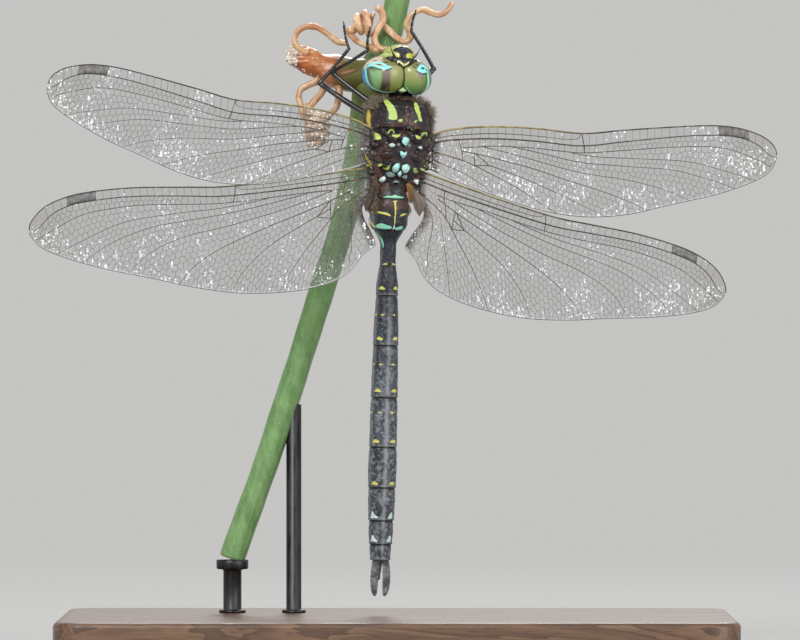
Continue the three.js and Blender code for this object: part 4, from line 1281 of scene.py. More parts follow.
# the wings
wingSettings = {
    "thickness": 0.022,        # of the clear skin, mm
    "columns": 230,
    "rows": 64,
    "edgeRows": 150,
    "baseRows": 30,
    "veinRows": 90,
    "stigmaSize": (40, 8),
    "cellSize": 0.74,
    "crossVein": 0.021,        # half thickness, mm
    "tip": 0.9992,             # how far out the skin reaches, of the span
    "seeds": {"fore": 11, "hind": 23},
    "fore": {
        "length": 46.8, "hinge": (4.3, -1.65, -0.1), "sweep": 2.7, "raise": 7.2, "node": "wing_fore_",
        "top": [
            [0, 0.036], [0.06, 0.053], [0.17, 0.065], [0.3, 0.065], [0.43, 0.057], [0.55, 0.071],
            [0.68, 0.085], [0.8, 0.095], [0.88, 0.092], [0.945, 0.075], [0.98, 0.055], [0.995, 0.036],
            [1, 0.017],
        ],
        "bottom": [
            [0, -0.064], [0.06, -0.088], [0.15, -0.117], [0.255, -0.148], [0.36, -0.17], [0.47, -0.176],
            [0.58, -0.163], [0.7, -0.131], [0.82, -0.1], [0.92, -0.063], [0.975, -0.033], [0.995, -0.004],
            [1, 0.017],
        ],
        "inner": [[-1, 0], [1, 0]],
        "stigma": (0.825, 0.915),
        "plainTo": 0.03, "plainBelow": (),
        "nodus": 0.43,
        # vein, [span, share of the way from front edge to hind edge], radii in mm, how far it stands up
        "veins": [
            ("subcosta", [(0, 0.14), (0.2, 0.1), (0.4, 0.082), (0.43, 0.0)], (0.07, 0.04), -0.26),
            (
                "radius",
                [(0, 0.24), (0.1, 0.2), (0.25, 0.165), (0.43, 0.15), (0.6, 0.132), (0.8, 0.135),
                    (0.93, 0.2), (0.99, 0.5)],
                (0.12, 0.045),
                0.22,
            ),
            (
                "radiusHind",
                [(0.085, 0.36), (0.2, 0.275), (0.35, 0.24), (0.5, 0.235), (0.7, 0.26), (0.85, 0.34),
                    (0.95, 0.58), (0.985, 0.85)],
                (0.07, 0.035),
                -0.2,
            ),
            (
                "secondBranch",
                [(0.4, 0.24), (0.5, 0.3), (0.62, 0.37), (0.76, 0.5), (0.88, 0.76), (0.94, 1.0)],
                (0.05, 0.03),
                0.05,
            ),
            (
                "betweenBranch",
                [(0.23, 0.27), (0.4, 0.335), (0.55, 0.42), (0.7, 0.56), (0.82, 0.8), (0.88, 1.0)],
                (0.055, 0.03),
                0.16,
            ),
            (
                "thirdBranch",
                [(0.15, 0.32), (0.3, 0.4), (0.45, 0.485), (0.58, 0.61), (0.68, 0.8), (0.75, 1.0)],
                (0.06, 0.03),
                -0.16,
            ),
            (
                "media",
                [(0.085, 0.42), (0.2, 0.47), (0.32, 0.525), (0.45, 0.635), (0.55, 0.8), (0.63, 1.0)],
                (0.07, 0.03),
                0.16,
            ),
            (
                "mediaHind",
                [(0.165, 0.58), (0.28, 0.665), (0.38, 0.77), (0.46, 0.9), (0.51, 1.0)],
                (0.06, 0.03),
                -0.12,
            ),
            (
                "cubitus",
                [(0, 0.5), (0.1, 0.6), (0.17, 0.7), (0.25, 0.8), (0.32, 0.92), (0.37, 1.0)],
                (0.08, 0.03),
                0.1,
            ),
            ("anal", [(0, 0.72), (0.08, 0.79), (0.14, 0.89), (0.19, 1.0)], (0.06, 0.03), 0.0),
        ],
    },
    "hind": {
        "length": 46.2, "hinge": (3.9, -0.8, -4.5), "sweep": -13.85, "raise": -2.7, "node": "wing_hind_",
        "top": [
            [0, 0.021], [0.13, 0.022], [0.29, 0.025], [0.43, 0.033], [0.54, 0.049], [0.69, 0.07],
            [0.83, 0.077], [0.91, 0.067], [0.955, 0.05], [0.983, 0.028], [0.996, 0.011], [1, -0.006],
        ],
        "bottom": [
            [0, -0.2], [0.032, -0.22], [0.09, -0.262], [0.17, -0.286], [0.28, -0.289], [0.42, -0.271],
            [0.55, -0.234], [0.67, -0.189], [0.8, -0.142], [0.91, -0.093], [0.97, -0.056], [0.994, -0.024],
            [1, -0.006],
        ],
        "inner": [
            [-0.22, 0.02], [-0.194, 0.008], [-0.16, 0.016], [-0.112, 0.032], [-0.078, 0.028],
            [-0.052, 0.004], [-0.02, -0.012], [0.03, -0.016],
        ],
        "stigma": (0.795, 0.88),
        "plainTo": 0.15, "plainBelow": ("cubitus", "cubitusHind", "anal"),
        "nodus": 0.39,
        "veins": [
            ("subcosta", [(0, 0.062), (0.2, 0.05), (0.36, 0.042), (0.39, 0.0)], (0.07, 0.04), -0.26),
            (
                "radius",
                [(0, 0.12), (0.15, 0.095), (0.3, 0.085), (0.45, 0.088), (0.6, 0.09), (0.8, 0.115),
                    (0.92, 0.19), (0.988, 0.5)],
                (0.12, 0.045),
                0.22,
            ),
            (
                "radiusHind",
                [(0.06, 0.18), (0.2, 0.142), (0.35, 0.145), (0.5, 0.165), (0.7, 0.205), (0.85, 0.31),
                    (0.95, 0.58), (0.985, 0.85)],
                (0.07, 0.035),
                -0.2,
            ),
            (
                "secondBranch",
                [(0.3, 0.145), (0.45, 0.205), (0.6, 0.285), (0.75, 0.43), (0.87, 0.72), (0.935, 1.0)],
                (0.05, 0.03),
                0.05,
            ),
            (
                "betweenBranch",
                [(0.18, 0.147), (0.35, 0.215), (0.5, 0.3), (0.65, 0.435), (0.78, 0.68), (0.865, 1.0)],
                (0.055, 0.03),
                0.16,
            ),
            (
                "thirdBranch",
                [(0.11, 0.17), (0.25, 0.255), (0.4, 0.35), (0.55, 0.49), (0.66, 0.71), (0.735, 1.0)],
                (0.06, 0.03),
                -0.16,
            ),
            (
                "media",
                [(0.06, 0.22), (0.2, 0.31), (0.33, 0.415), (0.45, 0.57), (0.54, 0.78), (0.595, 1.0)],
                (0.07, 0.03),
                0.16,
            ),
            (
                "mediaHind",
                [(0.12, 0.33), (0.22, 0.435), (0.32, 0.58), (0.4, 0.79), (0.445, 1.0)],
                (0.06, 0.03),
                -0.12,
            ),
            (
                "cubitus",
                [(0.0, 0.26), (0.1, 0.375), (0.16, 0.51), (0.22, 0.67), (0.27, 0.84), (0.31, 1.0)],
                (0.08, 0.03),
                0.1,
            ),
            ("cubitusHind", [(0.08, 0.44), (0.115, 0.58), (0.15, 0.77), (0.185, 1.0)], (0.05, 0.03), 0.0),
            ("anal", [(0.0, 0.36), (0.04, 0.52), (0.07, 0.72), (0.09, 1.0)], (0.06, 0.03), 0.0),
        ],
    },
}


def smoothLine(pairs, count=160):
    # a fine table of a given line, rounded between its points
    fine = catmull([(p[0], p[1], 0) for p in pairs], count)
    return np.maximum.accumulate(fine[:, 0]), fine[:, 1]


class Wing:
    # turns a place on the wing, span g and share f of the chord, into a point
    def __init__(self, kind, side):
        v = wingSettings[kind]
        self.v, self.side, self.length = v, side, v["length"]
        self.top, self.bottom, self.inner = (smoothLine(v[key]) for key in ("top", "bottom", "inner"))
        self.veins = []
        for name, line, radii, stand in v["veins"]:
            g, f = smoothLine(line, 120)
            self.veins.append((name, g, np.clip(f, 0, 1), radii, stand))
        x, y, z = v["hinge"]
        raised = Matrix.Rotation(math.radians(-side * v["raise"]), 4, "Z")
        swept = Matrix.Rotation(math.radians(-side * v["sweep"]), 4, "Y")
        self.matrix = thoraxMatrix @ Matrix.Translation((side * x, y, z)) @ raised @ swept

    def edges(self, g):
        return np.interp(g, *self.top), np.interp(g, *self.bottom)

    def chord(self, g):
        high, low = self.edges(g)
        return (high - low) * self.length

    def on(self, vein, at):
        # the share of the chord where a vein lies
        return next(float(np.interp(at, g, f)) for name, g, f, radii, stand in self.veins if name == vein)

    def below(self, index, at):
        # the first vein from this one on that reaches so far out, or the hind edge
        for name, g, f, radii, stand in self.veins[index:]:
            if g[0] <= at <= g[-1]:
                return float(np.interp(at, g, f))
        return 1.0

    def stand(self, g, f):
        # the pleats: each vein lies a little above or below the wing's plane
        out, lastPlace, lastHeight = np.zeros((3, *g.shape))
        done = np.zeros(g.shape, bool)
        hindEdge = ("edge", np.array([-1, 2]), np.ones(2), (), 0.0)
        for name, veinG, veinF, radii, height in self.veins + [hindEdge]:
            place = np.interp(g, veinG, veinF)
            here = (g >= veinG[0]) & (g <= veinG[-1])
            inside = here & ~done & (f <= place + 1e-9)
            t = np.clip((f - lastPlace) / np.maximum(place - lastPlace, 1e-6), 0, 1)
            out = np.where(inside, lastHeight + (height - lastHeight) * t, out)
            done |= inside
            lastPlace = np.where(here, place, lastPlace)
            lastHeight = np.where(here, height, lastHeight)
        fade = (1 - g) ** 0.6 * step01(g, -0.02, 0.08)
        wave = 0.16 * np.sin(g * 21 + 2.0 * f) * f * f * (0.4 + g) + 0.1 * np.sin(g * 9 + self.side)
        return out * fade + wave * step01(g, 0.02, 0.3)

    def place(self, g, f, lift=0.0):
        g, f = np.broadcast_arrays(np.asarray(g, float), np.asarray(f, float))
        high, low = self.edges(g)
        y = high + (low - high) * f
        x = g + np.interp(y, *self.inner) * (1 - step01(g, 0, 0.14))
        up = self.stand(g, f) + lift
        return moved(self.matrix, np.stack([self.side * x * self.length, -up, y * self.length], -1))


def cellWalls(seeds):
    # the walls of the cells that grow round seeds: their two ends, and the seeds beside them
    points, _, faces, origin = delaunay_2d_cdt([Vector(p) for p in seeds], [], [], 0, 1e-5)[:4]
    seedOf = [o[0] if o else None for o in origin]
    centres, besides = [], {}
    for index, face in enumerate(faces):
        (ax, ay), (bx, by), (cx, cy) = [points[i][:] for i in face[:3]]
        d = 2 * (ax * (by - cy) + bx * (cy - ay) + cx * (ay - by))
        if abs(d) < 1e-9:
            centres.append(None)
            continue
        aa, bb, cc = ax * ax + ay * ay, bx * bx + by * by, cx * cx + cy * cy
        x = (aa * (by - cy) + bb * (cy - ay) + cc * (ay - by)) / d
        y = (aa * (cx - bx) + bb * (ax - cx) + cc * (bx - ax)) / d
        centres.append((x, y, [seedOf[i] for i in face]))
        for i, j in ((0, 1), (1, 2), (2, 0)):
            besides.setdefault(tuple(sorted((face[i], face[j]))), []).append(index)
    walls = []
    for (a, b), sides in besides.items():
        if len(sides) == 2 and centres[sides[0]] and centres[sides[1]]:
            walls.append((seedOf[a], seedOf[b], centres[sides[0]], centres[sides[1]]))
    return walls


def cellEdges(wing, start, stop, upper, lower, size, rng, single=None):
    # cross veins of one strip between two long veins: cells grow round staggered seeds, and
    # seeds mirrored in both long veins make the cells stop square on them
    length = wing.length
    seeds, kinds = [], []

    def strip(g):
        chord = float(wing.chord(g))
        return chord, float(upper(g)), (float(lower(g)) - float(upper(g))) * chord

    g = start
    while g < stop:
        high = strip(g)[2]
        step = 0.4 * size
        if high > 0.16:
            rows = 1 if single else max(1, round(high / size))
            step = single or max(0.55 * size, min(1.12 * size, high / rows * 1.05))
            for row in range(rows):
                s = g * length + (row % 2 - 0.5) * 0.5 * step * (rows > 1) + rng.normal(0, 0.055) * step
                t = (row + 0.5) / rows * high + (rng.normal(0, 0.06) * high / rows if rows > 1 else 0)
                seeds += [(s, t), (s, -t), (s, 2 * high - t)]
                kinds += [0, 1, 2]
        g += step / length
    if len(seeds) < 12:
        return []

    def onWing(end):
        s, t, near = end
        mirrors = {3 if i is None else kinds[i] for i in near} - {0}
        g = min(max(s / length, start), stop)
        chord, first, high = strip(g)
        high = max(0.0, high)
        t = {(1,): 0.0, (2,): high}.get(tuple(mirrors), t)
        return g, first + min(max(t, 0.0), high) / max(chord, 1e-6)

    found = []
    for a, b, first, last in cellWalls(seeds):
        if a is not None and b is not None and kinds[a] == 0 and kinds[b] == 0:
            p, q = onWing(first), onWing(last)
            if start < p[0] < stop and start < q[0] < stop:
                found.append((p, q))
    return found


def plainCells(wing, stop, upper, size, rng):
    # the wide cells beside the body, where the long veins run too steeply for strips
    length, rise = wing.length, size * 0.87
    seeds = []
    deep = -float(wing.edges(0.1)[1]) * length + 2
    for row in range(int(deep / rise) + 2):
        for column in range(int(stop * length / size) + 3):
            x = (column - 0.5 + 0.5 * (row % 2)) * size + rng.normal(0, 0.1) * size
            seeds.append((x, 1.5 - row * rise + rng.normal(0, 0.1) * size))
    found = []
    for a, b, first, last in cellWalls(seeds):
        ends = []
        for x, y, near in (first, last):
            g = x / length
            if 0.0 < g < stop:
                high, low = wing.edges(g)
                ends.append((g, float((high - y / length) / (high - low))))
        if len(ends) == 2 and all(upper(g) < f < 1.0 for g, f in ends):
            found.append(ends)
    return found


def wingStrips(wing, size, rng):
    # front strip: between the front edge, the first vein and, past the nodus, the second
    v, nodus, plain = wing.v, wing.v["nodus"], wing.v["plainTo"]

    def front(g):
        return 0.0

    found = cellEdges(wing, 0.03, nodus, front, lambda g: wing.below(0, g), size, rng, 1.12)
    found += cellEdges(wing, nodus + 0.012, 0.97, front, lambda g: wing.below(1, g), size, rng, 0.98)
    for index, (name, g, f, radii, stand) in enumerate(wing.veins):
        stop = min(g[-1], 0.99) - 0.002
        start = max(g[0], plain if name in v["plainBelow"] else 0.03)
        if start <= stop - 0.01:
            found += cellEdges(
                wing, start, stop, lambda at, name=name: wing.on(name, at),
                lambda at, after=index + 1: wing.below(after, at), size, rng,
                1.12 if name == "subcosta" else None,
            )
    if plain > 0.03:
        found += plainCells(wing, plain, lambda g: wing.on("cubitus", g) - 0.02, size * 1.3, rng)
    return found


def buildMembrane(name, wing, v, material):
    # clear skin: two faces a hair apart
    g = np.minimum(1 - (1 - np.linspace(0, 1, v["columns"])) ** 1.25, v["tip"])
    f = np.linspace(0, 1, v["rows"])
    f = 0.5 * f + 0.5 * (0.5 - 0.5 * np.cos(np.pi * f))
    g, f = np.meshgrid(g, f, indexing="ij")
    chord = wing.chord(g)
    marks = {"span": g, "fromHind": (1 - f) * chord}
    data = sheetData(wing.place(g, f, v["thickness"] / 2), wing.place(g, f, -v["thickness"] / 2))
    return meshObject(name, data, material, {key: np.tile(m.ravel(), 2) for key, m in marks.items()})


def buildVeins(name, wing, v, rng, material):
    paths, radii, spans, fronts = [], [], [], []

    def addLine(g, f, thick, thin, power=0.8, front=0.0):
        paths.append(wing.place(g, f))
        radii.append(thick + (thin - thick) * np.linspace(0, 1, len(g)) ** power)
        spans.append(g)
        fronts.append(np.full(len(g), front))

    # the front and hind edges, the base, and the long veins
    along = (1 - (1 - np.linspace(0, 1, v["edgeRows"])) ** 1.3) * v["tip"]
    addLine(along, np.zeros_like(along), 0.15, 0.07, 0.6, front=1.0)
    addLine(along, np.ones_like(along), 0.04, 0.045)
    addLine(np.zeros(v["baseRows"]), np.linspace(0.25, 1, v["baseRows"]), 0.06, 0.04)
    for vein, g, f, (thick, thin), stand in wing.veins:
        line = evenly(np.stack([g, f, f * 0], -1), v["veinRows"])
        addLine(line[:, 0], line[:, 1], thick, thin)
    # arculus and triangle near the base, and the strut at the nodus
    nodus = wing.v["nodus"]
    brace = [
        (0.075, wing.on("radius", 0.075), 0.085, wing.on("media", 0.09)),
        (0.085, wing.on("media", 0.09), 0.09, wing.on("cubitus", 0.09)),
        (0.125, wing.on("media", 0.13), 0.165, wing.on("mediaHind", 0.17)),
        (0.125, wing.on("cubitus", 0.125), 0.165, wing.on("mediaHind", 0.17)),
        (0.12, wing.on("media", 0.12), 0.125, wing.on("cubitus", 0.125)),
        (nodus, 0.0, nodus + 0.012, wing.on("radiusHind", nodus)),
    ]
    for startG, startF, endG, endF in brace:
        addLine(np.linspace(startG, endG, 6), np.linspace(startF, endF, 6), 0.065, 0.06)
    for ends in wingStrips(wing, v["cellSize"], rng):
        addLine(*np.transpose(ends), v["crossVein"], v["crossVein"])
    return strands(name, paths, radii, material, extra={"span": spans, "front": fronts})


def buildStigma(name, wing, v, material):
    # the dark cell near the tip of the front edge
    rows, columns = v["stigmaSize"]
    g = np.linspace(*wing.v["stigma"], rows)[:, None]
    f = np.linspace(0.04, 0.96, columns)[None, :]
    across, along = np.linspace(0, 1, columns)[None, :], np.linspace(0, 1, rows)[:, None]
    swell = 0.03 + 0.09 * np.sin(np.pi * along) ** 0.4 * np.sin(np.pi * across) ** 0.5
    share = f * np.interp(g, *wing.veins[1][1:3])
    g = g + (f - 0.5) * 0.006
    return meshObject(name, sheetData(wing.place(g, share, swell), wing.place(g, share, -swell)), material)


def buildWing(kind, side, label, v, finishes):
    wing = Wing(kind, side)
    name, rng = f"{kind}Wing_{label}_", np.random.default_rng(v["seeds"][kind])
    pieces = [
        buildMembrane(name + "membrane", wing, v, finishes[0]),
        buildVeins(name + "veins", wing, v, rng, finishes[1]),
        buildStigma(name + "stigma", wing, v, finishes[2]),
    ]
    for piece in pieces:
        onBody(piece, "wings", wing.v["node"] + label)
    return len(pieces[1].data.polygons)


def membraneMaterial():
    look = Finish("clearWing", {"IOR": 1.4, "Roughness": 0.3, "Specular IOR Level": 0.5})
    fine = look.noise(1900, 4, 0.65)
    clump = look.noise(190, 4, 0.6)
    hind = look.mark("fromHind")
    nearHind = hind.span(0.0, 5.5, 1, 0)
    tip = look.mark("span").span(0.8, 1.0)
    base = look.mark("span").span(0.0, 0.035, 1, 0)
    # bright flecks, partly specks of dust and partly painted glints: each small cell is lit or not, more of
    # them towards the hind edge
    shake = look.add("TexNoise", {"Vector": look.place(), "Scale": 2600.0, "Detail": 2.0}, "Color")
    shake = look.add("VectorMath", {0: shake, 1: (0.5, 0.5, 0.5)}, operation="SUBTRACT")
    shake = look.add("VectorMath", {0: shake, "Scale": 0.0005}, operation="SCALE")
    ragged = look.add("VectorMath", {0: look.place(), 1: shake}, operation="ADD")
    lit = look.add("SeparateColor", {"Color": look.cells(2900, vector=ragged, output="Color")}, "Red")
    near = look.cells(2900, vector=ragged).span(0.3, 0.5, 1, 0)
    chance = nearHind * 0.26 + clump.span(0.4, 0.68, -0.12, 0.55)
    outer = look.mark("span").span(0.06, 0.34, 0.4, 1)
    chance = chance * outer
    wake = lit - (1.0 - chance)
    fleck = wake.span(0.0, 0.04) * near
    fleck = fleck * fine.span(0.36, 0.5)
    # painted glints: streaks that run from the hind edge inwards, in rows
    long = look.place(scale=(1.0, 1.0, 0.28), turn=(0, -10, 0))
    long = look.add("VectorMath", {0: long, 1: shake}, operation="ADD")
    streakLit = look.add("SeparateColor", {"Color": look.cells(1900, vector=long, output="Color")}, "Green")
    streakNear = look.cells(1900, vector=long).span(0.2, 0.4, 1, 0)
    streakZone = hind.span(0.3, 7.5, 0.8, 0) * clump.span(0.34, 0.52)
    streakZone = streakZone * outer
    streakWake = streakLit - (1.0 - streakZone)
    streak = streakWake.span(0.0, 0.05) * streakNear
    streak = streak * fine.span(0.4, 0.54)
    # dust so fine that it reads as haze, and long scratches
    dust = look.noise(6200, 3, 0.7).span(0.5, 0.66) * clump.span(0.34, 0.62)
    lines = look.noise(300, 3, 0.6, look.place(scale=(0.5, 1, 1.6), turn=(0, 24, 0)), 1.8)
    scratch = (lines - 0.5).maths("ABSOLUTE").span(0.0, 0.007, 1, 0)
    scratch = scratch * look.noise(120, 2).span(0.54, 0.64)
    # white where dust, scratches, the hind edge and painted glints lie
    dustWearAndGlints = fleck.orMore(dust * 0.55)
    dustWearAndGlints = dustWearAndGlints.orMore(streak)
    dustWearAndGlints = dustWearAndGlints.orMore(scratch * 0.55)
    dustWearAndGlints = dustWearAndGlints.orMore(hind.span(0.08, 0.4, 0.5, 0))
    smoke = tip * 0.14 + base * 0.75
    tint = blend(base, (0.15, 0.155, 0.16), (0.03, 0.024, 0.02))
    tint = blend(tip, tint, (0.2, 0.19, 0.16))
    colour = blend(dustWearAndGlints, tint, (0.96, 0.97, 0.98))
    alpha = (smoke + 0.13).maths("ADD", dustWearAndGlints * 0.75, clamp=True)
    normal = look.bump(fine, 0.2, 0.00006)
    return look.done(colour, normal=normal, alpha=alpha)


def veinMaterial():
    look = Finish("wingVein", {"IOR": 1.5, "Roughness": 0.32})
    mottle = look.noise(700, 4)
    colour = blend(mottle.span(0.35, 0.65), (0.022, 0.015, 0.011), (0.06, 0.042, 0.027))
    amber = look.mark("span").span(0.0, 0.2, 1, 0) * mottle.span(0.4, 0.55)
    colour = blend(amber * 0.7, colour, (0.24, 0.13, 0.035))
    costal = look.mark("front") * look.mark("span").span(0.2, 0.5, 0.85, 0)
    colour = blend(costal, colour, blend(mottle.span(0.35, 0.6), (0.2, 0.15, 0.04), (0.42, 0.36, 0.12)))
    # pale grey patches on the veins are painted glints
    pale = look.noise(230, 4, 0.65).span(0.55, 0.67)
    colour = blend(pale * 0.5, colour, (0.24, 0.235, 0.22))
    return look.done(colour, normal=look.bump(look.noise(9000, 2), 0.2, 0.00003))


# wing roots: struts from the thorax into the veins, and the soft leaves behind the wings
rootSettings = {
    # [depth, height] from the hinge on the body, share of the chord on the wing, radii, mm
    "fore": [
        (-0.9, 0.35, -0.1, 0.03, 0.24, 0.11), (-1.0, -0.1, -0.6, 0.24, 0.28, 0.12),
        (-0.9, 0.3, -1.5, 0.5, 0.2, 0.08), (-0.9, 0.2, -2.2, 0.72, 0.16, 0.06),
        (-0.8, 0.1, -2.9, 0.98, 0.12, 0.05),
    ],
    "hind": [
        (-0.9, 0.2, 0.75, 0.0, 0.22, 0.11), (-1.0, -0.2, 0.1, 0.12, 0.28, 0.12),
        (-0.9, 0.1, -0.6, 0.26, 0.2, 0.08), (-0.9, 0.1, -1.2, 0.36, 0.16, 0.06),
        (-0.9, 0.2, -1.9, 0.5, 0.12, 0.05),
    ],
    # swellings over the joints: place from the hinge, half sizes
    "knobs": {
        "fore": [
            ((-0.75, -0.2, -0.35), (0.8, 0.55, 0.42)), ((-0.85, 0.0, -1.6), (0.7, 0.5, 0.65)),
            ((-0.7, 0.1, -2.7), (0.5, 0.35, 0.42)),
        ],
        "hind": [
            ((-0.75, -0.1, 0.3), (0.8, 0.5, 0.42)), ((-0.9, 0.0, -0.65), (0.75, 0.5, 0.6)),
            ((-0.9, 0.2, -1.5), (0.55, 0.35, 0.35)),
        ],
    },
    "reach": 0.022,            # of the wing's length
    "strutRows": 16,
    "leafSize": (40, 14),
    # edges of each leaf in the hind wing's own plane, mm from its hinge, then its lift and fullness
    "greyLeaf": {
        "outer": [(-1.6, -1.5), (-0.8, -1.75), (0.25, -2.2), (0.85, -2.7), (1.1, -3.4), (0.95, -4.7)],
        "inner": [(-1.6, -1.5), (-1.4, -2.3), (-0.95, -2.95), (-0.35, -3.75), (0.15, -4.25), (0.95, -4.7)],
        "lift": (0.7, 0.1), "full": 0.3, "shift": {"left": (-0.25, -1.3), "right": (0, 0)},
    },
    "ochreLeaf": {
        "outer": [(0.75, -1.5), (0.68, -1.8), (0.5, -2.25), (0.2, -2.65), (-0.15, -3.0), (-0.6, -3.15)],
        "inner": [(0.75, -1.5), (0.5, -1.8), (0.25, -2.15), (-0.05, -2.45), (-0.35, -2.75), (-0.6, -3.15)],
        "lift": (0.1, 0.45), "full": 0.1, "shift": {"left": (0, 0), "right": (-1.15, 0.1)},
    },
    "goldLeaf": {
        "outer": [
            (-2.9, -1.55), (-2.6, -1.25), (-2.3, -1.22), (-1.64, -1.5), (-1.2, -2.3), (-1.1, -2.85),
            (-0.74, -3.5),
        ],
        "inner": [
            (-2.9, -1.55), (-2.4, -2.05), (-2.0, -2.58), (-1.5, -3.28), (-1.12, -3.42), (-0.74, -3.5),
        ],
        "lift": (1.6, 0.5), "full": 0.35, "shift": {"left": (0, -1.5), "right": (0, 0)},
    },
}


def buildLeaf(name, wing, v, material):
    rows, columns = v["size"]
    sideways, rise = v["shift"][name.split("_")[1]]
    outer, inner = (
        evenly(catmull([(x, 0, y) for x, y in v[edge]], 90), rows)[:, None] for edge in ("outer", "inner")
    )
    t = np.linspace(0, 1, columns)[None, :]
    along = np.linspace(0, 1, rows)[:, None]
    local = outer * (1 - t[..., None]) + inner * t[..., None]
    swell = np.sin(np.pi * along) ** 0.7 * np.sin(np.pi * t)
    creases = 0.05 * np.sin(9 * t + 3 * along) * np.sin(np.pi * along)
    up = v["lift"][0] + (v["lift"][1] - v["lift"][0]) * along + rise + v["full"] * swell + creases
    sheets = []
    for offset in (0.04, -0.04):
        place = [(local[..., 0] + sideways) * wing.side, -(up + offset * (0.3 + swell)), local[..., 2]]
        sheets.append(moved(wing.matrix, np.stack(place, -1)))
    edge = np.tile((4 * t * (1 - t) * np.ones((rows, 1))).ravel(), 2)
    onBody(meshObject(name, sheetData(*sheets), material, {"edge": edge}), "shell")


def buildRoots(side, label, v, strutMaterial, leafMaterials):
    parts = []
    for kind in ("fore", "hind"):
        wing = Wing(kind, side)
        for x, lift, z, share, thick, thin in v[kind]:
            inner = np.array([[side * x, -lift * 0.4, z], [side * x * 0.5, -lift * 0.5, z]])
            reach = wing.place([0.004, v["reach"] * 0.5, v["reach"]], [share] * 3, 0.01)
            path = evenly(catmull(np.vstack([moved(wing.matrix, inner), reach]), 40), v["strutRows"])
            swell = thick * mm + (thin - thick) * mm * np.linspace(0, 1, v["strutRows"]) ** 0.7
            parts.append(tubeData(path, swell, 12, lambda s, a: 1 + 0.08 * np.sin(17 * s + a)))
        for (x, y, z), half in v["knobs"][kind]:
            points, faces, ways = ballData((0, 0, 0), half, 26, 16)
            ridge = 1 + 0.09 * np.sin(9 * np.arctan2(ways[:, 2], ways[:, 0]) + 2 * ways[:, 1])
            parts.append((moved(wing.matrix, points * ridge[:, None] + np.array([side * x, y, z])), faces))
    onBody(meshObject("wingRoots_" + label, joinData(parts), strutMaterial), "shell")
    for leaf, kind in (("greyLeaf", "hind"), ("goldLeaf", "hind"), ("ochreLeaf", "fore")):
        settings = {"size": v["leafSize"], **v[leaf]}
        buildLeaf(f"{leaf}_{label}", Wing(kind, side), settings, leafMaterials[leaf])


def leafMaterial(name, centre, edge, dark):
    look = Finish(name, {"IOR": 1.42})
    mottle = look.noise(1400, 4)
    colour = blend(look.mark("edge").span(0.1, 0.6), edge, centre)
    colour = blend(mottle.span(0.5, 0.75, 0, 0.6), colour, dark)
    lines = look.noise(1500, 3, 0.6, look.place(scale=(1, 1, 0.3), turn=(0, 24, 0)))
    rough = mottle.span(0.3, 0.7, 0.35, 0.55)
    return look.done(colour, rough=rough, normal=look.bump(lines, 0.4, 0.00006))


wingFinishes = [
    membraneMaterial(), veinMaterial(),
    hornMaterial("wingSpot", (0.09, 0.085, 0.08), (0.2, 0.2, 0.2), (0.35, 0.55), 0.15),
]
strutFinish = hornMaterial("wingRootHorn", (0.012, 0.009, 0.01), (0.06, 0.042, 0.036), (0.25, 0.45), 0.2)
leafFinishes = {
    "greyLeaf": leafMaterial("greyLeafSkin", (0.16, 0.125, 0.105), (0.3, 0.26, 0.22), (0.07, 0.05, 0.045)),
    "goldLeaf": leafMaterial("goldLeafSkin", (0.2, 0.095, 0.025), (0.42, 0.25, 0.1), (0.09, 0.04, 0.02)),
    "ochreLeaf": leafMaterial("ochreLeafSkin", (0.3, 0.23, 0.03), (0.45, 0.36, 0.06), (0.14, 0.09, 0.02)),
}
for wingSide, wingLabel in ((-1, "left"), (1, "right")):
    for wingKind in ("fore", "hind"):
        wingFaces = buildWing(wingKind, wingSide, wingLabel, wingSettings, wingFinishes)
        print("stage:", wingKind, "wing,", wingLabel, "built,", wingFaces, "vein faces")
for rootSide, rootLabel in ((-1, "left"), (1, "right")):
    buildRoots(rootSide, rootLabel, rootSettings, strutFinish, leafFinishes)
print("stage: wing roots built")


# legs: thigh, shin and foot of each, with rows of spines and paired claws
legSettings = {
    # hip, knee, ankle, toe in mm
    "joints": {
        "front_left": [(-1.8, 2.9, 72.0), (-8.6, 5.4, 77.2), (-3.9, 4.0, 79.95), (-3.55, 3.5, 82.7)],
        "front_right": [(0.5, 3.2, 72.0), (4.85, 5.1, 77.6), (1.9, 4.9, 82.5), (2.4, 4.6, 84.95)],
        "middle_left": [(-2.6, 2.8, 70.8), (-10.2, 4.6, 75.7), (-6.3, 4.2, 80.2), (-6.95, 4.1, 83.4)],
        "middle_right": [(0.2, 3.4, 70.6), (2.6, 7.2, 74.6), (0.1, 9.8, 78.0), (-0.05, 10.0, 80.3)],
        "hind_left": [(-2.2, 3.2, 68.6), (-1.0, 8.4, 63.4), (-3.0, 8.9, 66.9), (-2.5, 8.7, 69.6)],
        "hind_right": [(0.2, 3.6, 68.4), (2.2, 9.4, 63.2), (-2.5, 11.1, 65.8), (-4.9, 10.65, 67.4)],
    },
    "thigh": [[0, 0.3], [0.12, 0.42], [0.45, 0.4], [0.85, 0.32], [0.95, 0.36], [1, 0.3]],
    "shin": [[0, 0.3], [0.08, 0.24], [0.6, 0.21], [0.94, 0.23], [1, 0.2]],
    "foot": [
        [0, 0.16], [0.18, 0.19], [0.24, 0.13], [0.3, 0.17], [0.5, 0.18], [0.56, 0.12], [0.62, 0.16],
        [0.94, 0.17], [1, 0.14],
    ],
    "spines": {"thigh": (8, 0.22, 0.03), "shin": (9, 0.42, 0.032), "foot": (5, 0.2, 0.024)},
    "bow": {"thigh": 0.12, "shin": -0.08, "foot": 0.12},
    "hip": (0.72, 0.72, 0.66),
    "knuckles": (0.34, 0.22),
    "claw": (0.09, 0.015, 9),  # radii and rows
    "rows": 46,
    "seed": 5,
}


def unit(vector):
    return vector / np.linalg.norm(vector)


def limbPath(a, b, bow, count):
    t = np.linspace(0, 1, count)[:, None]
    side = unit(np.cross(unit(b - a), (0.0, 1.0, 0.0)))
    return a + (b - a) * t + side * np.sin(np.pi * t) * bow


